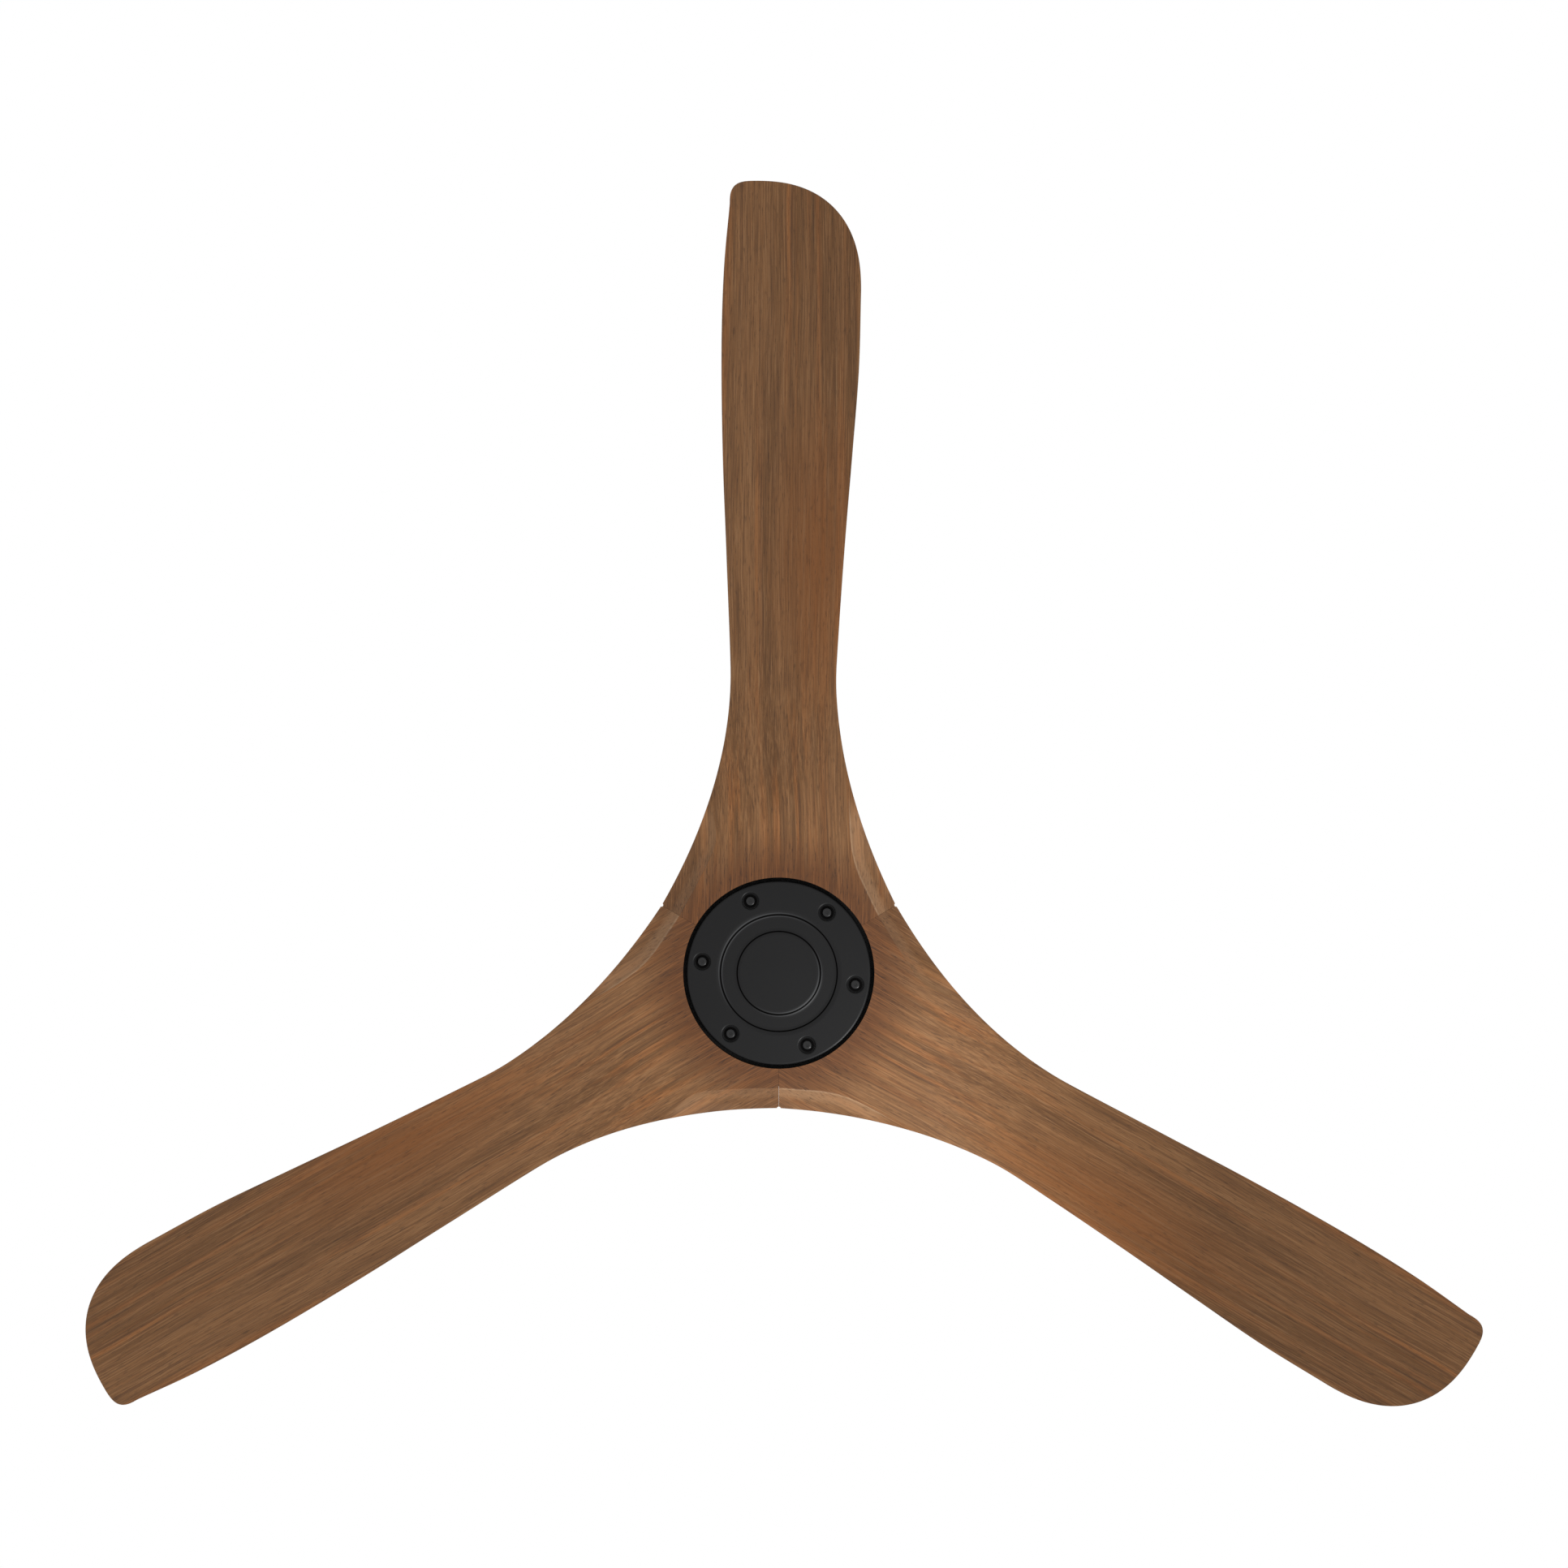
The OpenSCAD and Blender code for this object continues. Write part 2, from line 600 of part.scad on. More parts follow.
module downrod() {
    color(black_color) translate([0, 0, rod_bottom_z]) difference() {
        ring(rod_r, rod_r - rod_wall, rod_length);
        translate([0, 0, pin_z - rod_bottom_z]) rotate([0, 90, 0]) cylinder(r = pin_r + slip, h = 60, center = true);
        translate([0, 0, ball_z - rod_bottom_z]) rotate([0, 90, 0])
            cylinder(r = ball_pin_r, h = 60, center = true);
    }
}
clip_wire_r = 0.9;
module clevis_pin() {
    color(steel_color) translate([-yoke_r + 1 - pin_flat, 0, pin_z]) rotate([0, 90, 0]) difference() {
        union() {
            cylinder(r = pin_r, h = 2 * yoke_r + 6);
            translate([0, 0, -1.5]) cylinder(r = pin_r + 2, h = 1.5);
        }
        translate([0, 0, 2 * yoke_r + 2.5 + pin_flat]) rotate([90, 0, 0])
            cylinder(r = clip_wire_r, h = 20, center = true);
    }
}
module hairpin_clip() {
    x = yoke_r + 3.5;
    wire_r = clip_wire_r;
    color(steel_color) translate([x, 0, pin_z]) {
        translate([0, 10, 0]) rotate([90, 0, 0]) cylinder(r = wire_r, h = 18);
        translate([0, 10, 6]) rotate([90, 0, 0]) cylinder(r = wire_r, h = 16);
        translate([0, 10, 3]) rotate([0, 90, 0]) rotate_extrude(angle = 180)
            translate([3, 0]) circle(r = wire_r, $fn = 32);
    }
}
module yoke_set_screws() {
    // grub screws that clamp the rod, one from each side
    color(steel_color) for (side = [-1, 1]) translate([0, side * rod_r, pin_z]) rotate([-90 * side, 0, 0])
        difference() {
            cylinder(r = 2.5, h = 12);
            translate([0, 0, 8]) cylinder(r = 1.4, h = 6, $fn = 6);
        }
}
module yoke_lock_nuts() {
    color(steel_color) for (side = [-1, 1]) translate([0, side * (yoke_r + 0.05), pin_z]) rotate([-90 * side, 0, 0])
        hex_nut(4, 2.5, 3);
}

cover_base_r = 42;
cover_neck_r = rod_r + hand_fit + 3;
cover_h = yoke_top_z - housing_top_z + 14;
// A dome from a foot radius to a neck radius, as profile points from the foot up
function dome(foot, neck, z0, z1, steps = 10) =
    [for (i = [0:steps]) let (t = i / steps) [neck + (foot - neck) * (1 - t * t), mix(z0, z1, t)]];
module coupling_cover() {
    bore = rod_r + hand_fit;
    inside = dome(cover_base_r - shell_wall, bore, 6, cover_h - 6);
    color(black_color) translate([0, 0, housing_top_z]) rotate_extrude() polygon(concat(
        [[cover_base_r - shell_wall, 0], [cover_base_r, 0]],
        dome(cover_base_r, cover_neck_r, 7, cover_h - 1.5),
        [[cover_neck_r - 1, cover_h], [bore, cover_h]],
        [for (i = [len(inside) - 1:-1:0]) inside[i]]
    ));
}

// ---------------------------------------------------------------- hanger

ball_pin_r = 3;
ball_set_drop = -9;                     // height of the ball's grub screw, from the ball's centre
groove_floor = rod_r + 2.6;             // from the axis to the floor of the ball's groove
module hanger_ball() {
    color([0.2, 0.2, 0.22]) translate([0, 0, ball_z]) difference() {
        sphere(r = ball_r);
        cylinder(r = rod_r + slip, h = 3 * ball_r, center = true);
        rotate([0, 90, 0]) cylinder(r = ball_pin_r + slip, h = 3 * ball_r, center = true);
        translate([0, rod_r, ball_set_drop]) rotate([-90, 0, 0]) cylinder(r = 2, h = 20);
        // groove that the bracket's tab sits in, so that the ball can't turn
        translate([-2.6, -groove_floor - 20, -ball_r]) cube([5.2, 20, 2 * ball_r]);
    }
}
module ball_pin() {
    color(steel_color) translate([0, 0, ball_z]) rotate([0, 90, 0])
        cylinder(r = ball_pin_r, h = 2 * (ball_r - 2), center = true);
}
module ball_set_screw() {
    color(steel_color) translate([0, rod_r, ball_z + ball_set_drop]) rotate([-90, 0, 0]) difference() {
        cylinder(r = 2, h = 6);
        translate([0, 0, 4]) cylinder(r = 1.1, h = 4, $fn = 6);
    }
}

bracket_t = 2.5;
bracket_w = 36;
arm_x = 46;
seat_bottom = 18;                       // from the ball's centre down to the seat's underside
seat_top = 11;
module hanger_bracket() {
    seat_r = ball_r + slip;
    opening = rod_r + 4;
    floor_z = ball_z - seat_bottom;
    color(steel_color) {
        difference() {
            union() {
                translate([-arm_x, -bracket_w / 2, -bracket_t]) cube([2 * arm_x, bracket_w, bracket_t]);
                for (side = [-1, 1])
                    translate([side > 0 ? arm_x - bracket_t : -arm_x, -bracket_w / 2, floor_z])
                        cube([bracket_t, bracket_w, -floor_z]);
                translate([-arm_x, -bracket_w / 2, floor_z]) cube([2 * arm_x, bracket_w, bracket_t]);
                translate([0, 0, floor_z]) cylinder(r = ball_r + 4, h = seat_bottom - seat_top);
            }
            translate([0, 0, ball_z]) sphere(r = seat_r);
            translate([0, 0, floor_z - 1]) cylinder(r = opening, h = 20);
            // the way in for the downrod, from the side
            translate([-opening, 0, floor_z - 1]) cube([2 * opening, 60, 20]);
            for (side = [-1, 1]) {
                translate([side * ceiling_screw_spacing / 2, 0, -bracket_t - 1]) slot(2.5, 14, bracket_t + 2);
                translate([side * arm_x, 0, -12]) rotate([0, 90, 0]) cylinder(r = 2, h = 20, center = true);
            }
            // the way through for the house wires, beside the middle
            translate([20, 0, -bracket_t - 1]) cylinder(r = 6, h = bracket_t + 2);
        }
        // tab that keeps the ball from turning
        translate([-2, -ball_r - 3, floor_z]) cube([4, 5, seat_bottom - 4]);
    }
}
module slot(r, length, h) {
    for (side = [-1, 1]) translate([side * (length / 2 - r), 0, 0]) cylinder(r = r, h = h);
    translate([-(length / 2 - r), -r, 0]) cube([length - 2 * r, 2 * r, h]);
}

wire_room = 6;                          // height of the channel for the house wires above the receiver
module control_receiver() {
    w = 84;
    d = 32;
    foot = 4;
    bottom_z = ball_z + ball_r + 4;
    color([0.85, 0.85, 0.83]) {
        translate([0, 0, bottom_z]) linear_extrude(-bracket_t - wire_room - bottom_z) rounded_outline(w, d, 3);
        // two feet against the bracket, with the wire channel between them
        for (side = [-1, 1])
            translate([-w / 2 + 3, side * (d - foot) / 2 - foot / 2, -bracket_t - wire_room - 1])
                cube([w - 6, foot, wire_room + 1]);
    }
}

canopy_hole_r = rod_r + 7;
module canopy() {
    h = canopy_height;
    w = shell_wall;
    r = canopy_r;
    base_r = r - 5;
    color(black_color) difference() {
        rotate_extrude() polygon(concat(
            [[r - w, -0.5], [r, -0.5], [r, -4]],
            arc(base_r - 20, -h + 20, 20, -2, -80, 8),
            [[canopy_hole_r + 4, -h], [canopy_hole_r, -h], [canopy_hole_r, -h + w], [canopy_hole_r + 4, -h + w]],
            arc(base_r - 20, -h + 20, 20 - w, -80, -2, 8),
            [[r - w, -4]]
        ));
        for (side = [-1, 1])
            translate([side * canopy_r, 0, -12]) rotate([0, 90, 0]) cylinder(r = 2.3, h = 30, center = true);
    }
}
module canopy_ring() {
    h = canopy_height;
    w_lip = 3;
    color(black_color) rotate_extrude() polygon([
        [canopy_hole_r - 1.6, -h - 2], [canopy_hole_r + 6, -h - 2], [canopy_hole_r + 7, -h - 1],
        [canopy_hole_r + 7, -h], [canopy_hole_r - 0.1, -h], [canopy_hole_r - 0.1, -h + w_lip],
        [canopy_hole_r - 1.6, -h + w_lip]
    ]);
}
module canopy_screws() {
    color(black_color) for (side = [-1, 1])
        translate([side * (canopy_r + 0.1), 0, -12]) rotate([0, -90 * side, 0])
            socket_screw(2, canopy_r - arm_x + 4, 4, 2.4, 1.3);
}

// ---------------------------------------------------------------- what is drawn

hanger_bracket();
canopy();
canopy_ring();
canopy_screws();
control_receiver();
hanger_ball();
ball_pin();
ball_set_screw();
downrod();
coupling_cover();
yoke();
yoke_set_screws();
yoke_lock_nuts();
clevis_pin();
hairpin_clip();
motor_housing();
housing_screws();
housing_nuts();
motor_shaft();
shaft_spacers();
stator_core();
stator_windings();
bearing_inner(upper_bearing_z);  // upper_bearing_inner
bearing_inner(lower_bearing_z);  // lower_bearing_inner
mounting_pan();
shaft_washer();
shaft_nut();
bottom_plate();
trim_ring();
centre_cap();
plate_screws();
rotor_cover();
rotor_base();
rotor_screws();
rotor_magnets();
bearing_outer(upper_bearing_z);  // upper_bearing_outer
bearing_outer(lower_bearing_z);  // lower_bearing_outer
blade(0);  // blade_1
blade(1);  // blade_2
blade(2);  // blade_3
blade_screws();
blade_washers();
bearing_cage(upper_bearing_z);  // upper_bearing_cage
bearing_balls(upper_bearing_z);  // upper_bearing_balls
bearing_cage(lower_bearing_z);  // lower_bearing_cage
bearing_balls(lower_bearing_z);  // lower_bearing_balls
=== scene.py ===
# %% [markdown]
# # A wooden ceiling fan, finished around its engineering model
# The fan's screws, motor and hanging parts come from a packed engineering model, which stays as it is.
# This lesson gives every part its finish, and carves the three blades again as fine meshes, because they
# are the pieces that everybody sees.

# %% Load the frame
import json
import math

import bmesh
import bpy
from mathutils import Matrix, Vector


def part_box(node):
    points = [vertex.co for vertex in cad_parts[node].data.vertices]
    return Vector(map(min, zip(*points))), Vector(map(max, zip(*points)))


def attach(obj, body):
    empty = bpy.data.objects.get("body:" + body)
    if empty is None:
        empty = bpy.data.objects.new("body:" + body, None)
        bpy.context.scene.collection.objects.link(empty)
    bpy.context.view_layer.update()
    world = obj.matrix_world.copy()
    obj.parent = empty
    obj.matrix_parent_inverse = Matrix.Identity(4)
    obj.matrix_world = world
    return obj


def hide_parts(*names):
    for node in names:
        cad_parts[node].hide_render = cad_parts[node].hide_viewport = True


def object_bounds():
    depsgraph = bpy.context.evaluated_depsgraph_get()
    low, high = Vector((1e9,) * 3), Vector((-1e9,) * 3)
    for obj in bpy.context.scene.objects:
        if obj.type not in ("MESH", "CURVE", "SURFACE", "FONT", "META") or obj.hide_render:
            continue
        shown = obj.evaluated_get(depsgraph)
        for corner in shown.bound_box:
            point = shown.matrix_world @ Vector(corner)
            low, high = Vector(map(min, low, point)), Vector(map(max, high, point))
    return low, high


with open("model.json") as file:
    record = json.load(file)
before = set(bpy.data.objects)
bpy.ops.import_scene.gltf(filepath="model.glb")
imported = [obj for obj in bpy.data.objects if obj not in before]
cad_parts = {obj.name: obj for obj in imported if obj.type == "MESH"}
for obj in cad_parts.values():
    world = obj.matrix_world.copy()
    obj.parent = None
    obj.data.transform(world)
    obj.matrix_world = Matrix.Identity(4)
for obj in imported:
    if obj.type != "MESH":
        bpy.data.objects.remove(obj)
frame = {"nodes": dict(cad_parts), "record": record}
cad_low, cad_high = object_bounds()
nodes = frame["nodes"]
print("parts in the frame:", len(nodes))

# %% [markdown]
# Every size that the looks need is read from the engineering model: the underside of the wooden hub, the
# tip radius, the opening that the plate sits in. A size that is only a matter of carving is named here,
# in millimetres, because that is how a woodworker would say it.

# %% Sizes of the wood
MM = 0.001
blade_low, blade_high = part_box("blade_1")
plate_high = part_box("bottom_plate")[1]
pad_z = blade_low.z
tip_r = blade_high.y / MM
hub_height = (blade_high.z - blade_low.z) / MM
plate_r = plate_high.x / MM
plate_gap = 3.2
rebate_r = plate_r + plate_gap
rebate_depth = 17.0
ledge_bore_r = 58.0
hub_r = 130.0
seam_gap = 0.14          # drawn tighter than in the model, so that less light shows through the seams
blade_count = 3
seam_angle = math.pi / blade_count
root_s = hub_r * math.cos(seam_angle)
root_u = hub_r * math.sin(seam_angle)
blade_chord = 134.0
blade_thickness = 11.0
edge_thickness = 5.0
root_pitch = 13.5
tip_pitch = 10.0
cove_width = 22.0
cove_rise = 13.0
edge_round = 3.0
print("tip radius %.1f mm, hub height %.1f mm, opening radius %.1f mm" % (tip_r, hub_height, rebate_r))

# %% [markdown]
# ## The outline of a blade
# A carved blade is drawn the way a shipwright draws a hull: two edges, each a smooth curve through a few
# stations, and a section at every station between them. s runs from the hub's centre to the tip and u
# across the blade, towards its trailing edge. The tip's two corners are superellipses, a tight one in
# front and a long sweeping one behind, which is what gives this blade its paddle shape.

# %% Smooth curves and the two edges
def mix(a, b, t):
    return a + (b - a) * t


def ramp(value, start, end):
    t = min(1.0, max(0.0, (value - start) / (end - start)))
    return t * t * (3 - 2 * t)


def curve(points, x):
    """A smooth curve through [x, y] points, with slopes from the neighbouring points."""
    if x <= points[0][0]:
        return points[0][1]
    if x >= points[-1][0]:
        return points[-1][1]
    i = max(k for k in range(len(points) - 1) if points[k][0] <= x)

    def slope(k):
        a, b = max(0, k - 1), min(len(points) - 1, k + 1)
        return (points[b][1] - points[a][1]) / (points[b][0] - points[a][0])

    h = points[i + 1][0] - points[i][0]
    t = (x - points[i][0]) / h
    return (
        (2 * t**3 - 3 * t**2 + 1) * points[i][1]
        + (t**3 - 2 * t**2 + t) * slope(i) * h
        + (3 * t**2 - 2 * t**3) * points[i + 1][1]
        + (t**3 - t**2) * slope(i + 1) * h
    )


# stations: [share of the way from root to tip, half width as a share of the chord]
LEAD_SHAPE = [
    (0, 0.343), (0.29, 0.343), (0.48, 0.376), (0.62, 0.403), (0.77, 0.412), (0.88, 0.394), (0.97, 0.352)
]
TRAIL_SHAPE = [
    (0, 0.407), (0.29, 0.407), (0.38, 0.431), (0.51, 0.479), (0.63, 0.531), (0.74, 0.575), (0.847, 0.59)
]
flare_length = 232.0
peak_u = -0.184 * blade_chord       # where the tip reaches farthest
tip_corner, corner_power = 21.6, 3  # the tight front corner, and how square it is
tip_round, round_power = 106.6, 2.4


def half_width(shape, s):
    """Half the chord at s, with the flare that widens it into the hub."""
    width = blade_chord * curve(shape, (s - root_s) / (tip_r - root_s))
    if s < root_s + flare_length:
        root_width = blade_chord * shape[0][1]
        width += (root_u - root_width) * (1 - (s - root_s) / flare_length) ** 2
    return width


def corner(edge_u, s, length, power):
    t = min(1.0, max(0.0, (s - (tip_r - length)) / length))
    return peak_u + (edge_u - peak_u) * max(0.0, 1 - t**power) ** (1 / power)


def lead_u(s):
    return corner(-half_width(LEAD_SHAPE, min(s, tip_r - tip_corner)), s, tip_corner, corner_power)


def trail_u(s):
    return corner(half_width(TRAIL_SHAPE, min(s, tip_r - tip_round)), s, tip_round, round_power)


print("widest chord: %.1f mm" % max(trail_u(s) - lead_u(s) for s in range(300, 760, 10)))

# %% [markdown]
# ## The section of a blade
# The root is a thick block with a flat underside. Along its outer edges a cove is carved, steep beside the
# flat and shallow at the edge. Farther out the wood is planed down to a thin twisted blade, and the twisted
# face meets the flat in a slanting crease. Both faces are one rule each, so every section can be asked
# for its heights, and the crease and coves appear by themselves.

# %% Heights of the underside
CREASE = [(90, -87), (110, -62), (160, 0), (210, 52), (260, 78), (320, 88), (340, 88)]
CREASE_SOFTNESS = 0.5
pad_end = 88.0           # the hub's underside is quite flat as far out as this
steepest_s = 330.0       # where the blade is twisted most
start_pitch = 5.0


def pitch(s):
    if s < steepest_s:
        return mix(start_pitch, root_pitch, ramp(s, 95, steepest_s))
    return mix(root_pitch, tip_pitch, ramp(s, steepest_s, tip_r))


def twisted(s, u):
    return math.tan(math.radians(pitch(s))) * (curve(CREASE, s) - u)


def under_face(s, u):
    """The flat pad or the twisted face, whichever lies higher, with a slightly eased crease."""
    h = twisted(s, u) if s > pad_end + 2 else -10.0
    return 0.5 * (h + math.sqrt(h * h + CREASE_SOFTNESS**2)) * ramp(s, pad_end, pad_end + 8)


print("pitch at mid blade: %.1f degrees" % pitch(tip_r * 0.6))

# %% Edges and the top
edge_power = 2.2         # fullness of a cove's and a rounded edge's curve


def cove(height, v):
    return height * (1 - (1 - v) ** edge_power)


def rounded(height, v):
    return height * v**edge_power


def edge_cut(width, height, v):
    """A cove where the edge strip is wide, and a plain rounded edge where it is narrow."""
    share = ramp(width, edge_round + 1, edge_round + 7)
    return mix(rounded(height, v), cove(height, v), share)


def blade_depth(s, t):
    """Thickness at t, which runs from -1 at one edge to 1 at the other. It thins out over the tip."""
    tip_share = min(1.0, max(0.02, (tip_r - s) / 60))
    swell = (blade_thickness - edge_thickness) * math.sqrt(tip_share)
    return edge_thickness + swell * (1 - abs(t) ** 2.5)


def over_face(s, u, t):
    thin = max(0.0, twisted(s, u)) + blade_depth(s, t)
    return mix(hub_height, thin, ramp(s, rebate_r + 12, 285))


def edge_strips(s):
    """Widths of the strips along the leading and trailing edges, the coves where they are wide."""
    width = trail_u(s) - lead_u(s)
    lead_w = min(mix(cove_width + 1, edge_round, ramp(s, 118, 172)), width * 0.3)
    trail_w = min(mix(cove_width, edge_round, ramp(s, 92, 190)), width * 0.3)
    return lead_w, trail_w


print("edge strips at the root: %.1f and %.1f mm" % edge_strips(root_s))

# %% One section
ARRIS = 0.7              # width of the line where the flat meets a cove, in millimetres
ACROSS, OVER_STEPS = 30, 28      # steps across the flat underneath and across the top
COVE_STOPS = [0.0, 0.03, 0.08, 0.18, 0.32, 0.46, 0.6, 0.74, 0.88, 1.0]


def section(s, across, over_steps):
    """One loop of (u, height) points round the blade at station s, from the leading edge underneath."""
    lo, hi = lead_u(s), trail_u(s)
    lead_w, trail_w = edge_strips(s)
    lead_h = mix(cove_rise, 1, ramp(s, 95, 165))
    trail_h = mix(cove_rise, 1, ramp(s, 95, 185))
    inner = hi - lo - lead_w - trail_w
    loop = []
    for v in COVE_STOPS[:0:-1]:
        u = lo + lead_w * (1 - v)
        loop.append((u, under_face(s, u) + edge_cut(lead_w, lead_h, v)))
    beside = ARRIS / inner
    for share in [0, beside] + [i / across for i in range(1, across)] + [1 - beside, 1]:
        u = lo + lead_w + inner * share
        loop.append((u, under_face(s, u)))
    for v in COVE_STOPS[1:]:
        u = hi - trail_w * (1 - v)
        loop.append((u, under_face(s, u) + edge_cut(trail_w, trail_h, v)))
    drop = mix(4, 1, ramp(s, 110, 220))
    for i in range(over_steps + 1):
        # closer together towards the two edges, where the top rounds over
        t = math.cos(math.pi * i / over_steps)
        u = mix(lo, hi, (t + 1) / 2)
        loop.append((u, over_face(s, u, t) - drop * abs(t) ** 24))
    return loop


print("a section:", len(section(400, ACROSS, OVER_STEPS)), "points")

# %% [markdown]
# ## Rolling a flat grid into a blade
# A grid is a sheet with rows and columns. One column is moved onto each station's section, so the sheet
# rolls up into a closed skin, and its two long sides meet on the leading edge, where they are merged. The
# ends are filled. That keeps the faces in even rows along the grain, which shades more calmly than a
# boolean of big shapes would.

# %% Roll the skin
WELD = 0.002             # corners closer than this are merged, in millimetres


def stations():
    """Station positions: close in the carved root and the tip, wider along the plain blade."""
    root = [26 + 6 * i for i in range(11)]
    carved = [90 + 3.2 * i for i in range(60)]
    plain = [285 + (tip_r - tip_round - 285) * i / 38 for i in range(39)]
    tip = [tip_r - tip_round * (1 - math.sin(math.pi / 2 * i / 48)) for i in range(1, 48)]
    return root + carved + plain + tip


def rolled_blade():
    places = stations()
    rows = [section(s, ACROSS, OVER_STEPS) for s in places]
    per_row = len(rows[0])
    bm = bmesh.new()
    bmesh.ops.create_grid(bm, x_segments=per_row, y_segments=len(rows) - 1, size=1)
    ordered = sorted(bm.verts, key=lambda v: (round(v.co.y, 6), v.co.x))
    for i, v in enumerate(ordered):
        row, k = divmod(i, per_row + 1)
        u, h = rows[row][k % per_row]
        v.co = Vector((-u, places[row], h))
    bmesh.ops.remove_doubles(bm, verts=bm.verts[:], dist=WELD)
    bmesh.ops.holes_fill(bm, edges=[e for e in bm.edges if e.is_boundary], sides=0)
    bmesh.ops.recalc_face_normals(bm, faces=bm.faces[:])
    return bm


print("stations along a blade:", len(stations()))

# %% [markdown]
# ## Sawing the seams and boring the hub
# Each root meets its neighbours at two saw cuts. bisect_plane cuts the skin like a saw and takes away the far
# side, and the open end is filled again. The round opening for the plate and the bore inside it are
# cylinders taken away with a Boolean modifier, applied at once so that the blade is one clean mesh.

# %% Saw and drill
def saw(bm, angle, side):
    """Cuts along a radial seam at angle, and takes away everything on that side of it."""
    along = Vector((math.cos(angle), math.sin(angle), 0))
    outward = Vector((-along.y, along.x, 0)) * side
    geometry = bm.verts[:] + bm.edges[:] + bm.faces[:]
    bmesh.ops.bisect_plane(
        bm, geom=geometry, plane_co=-outward * seam_gap / 2, plane_no=outward, clear_outer=True
    )
    bmesh.ops.holes_fill(bm, edges=[e for e in bm.edges if e.is_boundary], sides=0)


def drill(bm, radius, low, high, x=0.0, y=0.0, segments=128):
    bmesh.ops.create_cone(
        bm, cap_ends=True, segments=segments, radius1=radius, radius2=radius, depth=high - low,
        matrix=Matrix.Translation((x, y, (low + high) / 2)),
    )


def mesh_object(name, bm):
    mesh = bpy.data.meshes.new(name)
    bm.to_mesh(mesh)
    bm.free()
    obj = bpy.data.objects.new(name, mesh)
    bpy.context.scene.collection.objects.link(obj)
    return obj


def apply_modifiers(obj):
    """Puts the modified shape into the object's own mesh."""
    graph = bpy.context.evaluated_depsgraph_get()
    graph.update()
    shaped = bpy.data.meshes.new_from_object(obj.evaluated_get(graph))
    obj.modifiers.clear()
    old = obj.data
    obj.data = shaped
    bpy.data.meshes.remove(old)
    return obj


def take_away(obj, cutter):
    cut = obj.modifiers.new("bore", "BOOLEAN")
    cut.operation = "DIFFERENCE"
    cut.solver = "EXACT"
    cut.object = cutter
    apply_modifiers(obj)
    bpy.data.objects.remove(cutter)
    return obj


print("a saw cut leaves %.2f mm between two roots" % seam_gap)

# %% Carve one blade
def shade(obj, angle=32):
    """Smooth faces, with a crisp edge wherever the surface turns more than the angle."""
    bm = bmesh.new()
    bm.from_mesh(obj.data)
    for f in bm.faces:
        f.smooth = True
    limit = math.radians(angle)
    for e in bm.edges:
        e.smooth = len(e.link_faces) != 2 or e.calc_face_angle(0.0) < limit
    bm.to_mesh(obj.data)
    bm.free()
    return obj


SCREW_CIRCLE, SCREW_CLEARANCE = 80.0, 3.3
SCREW_ANGLES = (-36, 0, 36)      # degrees from the blade's middle line
NOTCH, NOTCH_CIRCLE = 2.0, hub_r + 0.6
PAST = 5                 # a cutter reaches this far past the wood


def carve_blade():
    bm = rolled_blade()
    saw(bm, math.pi / 2 + seam_angle, 1)
    saw(bm, math.pi / 2 - seam_angle, -1)
    bmesh.ops.recalc_face_normals(bm, faces=bm.faces[:])
    blade = mesh_object("carving", bm)
    cutter = bmesh.new()
    drill(cutter, rebate_r, -PAST, rebate_depth)
    take_away(blade, mesh_object("opening", cutter))
    cutter = bmesh.new()
    drill(cutter, ledge_bore_r, -PAST, hub_height + PAST)
    for a in SCREW_ANGLES:
        turn = math.pi / 2 + math.radians(a)
        x, y = SCREW_CIRCLE * math.cos(turn), SCREW_CIRCLE * math.sin(turn)
        drill(cutter, SCREW_CLEARANCE, PAST, hub_height + PAST, x, y, 24)
    # the outer end of each seam is eased into a small round notch
    for side in (-1, 1):
        turn = math.pi / 2 + side * seam_angle
        x, y = NOTCH_CIRCLE * math.cos(turn), NOTCH_CIRCLE * math.sin(turn)
        spot = Matrix.Translation((x, y, hub_height / 2)) @ Matrix.Rotation(turn, 4, "Z")
        bmesh.ops.create_cone(
            cutter, cap_ends=True, segments=16, radius1=NOTCH, radius2=NOTCH, depth=2 * hub_height,
            matrix=spot,
        )
    take_away(blade, mesh_object("bores", cutter))
    return blade


first_blade = carve_blade()
print("faces in a carved blade:", len(first_blade.data.polygons))

# %% [markdown]
# The cove is cut by a spinning router bit, which leaves a smooth band along its inner side; there the colour
# is lightened as a painted highlight, where the steep wall would catch the light, stronger on the trailing
# side than the leading. The arris, where flat and cove meet, is eased by hand, and a painted highlight draws
# it as a thin light line on the trailing side. Both are written on the mesh's corners as attributes, "cove"
# and "arris", so the finish can follow them.

# %% Mark the coves
# painted highlight: COVE_BAND is the width of the lightened band along a cove's inner side
COVE_BAND = 7.0          # width of the pale band along the inner side of a cove, in millimetres


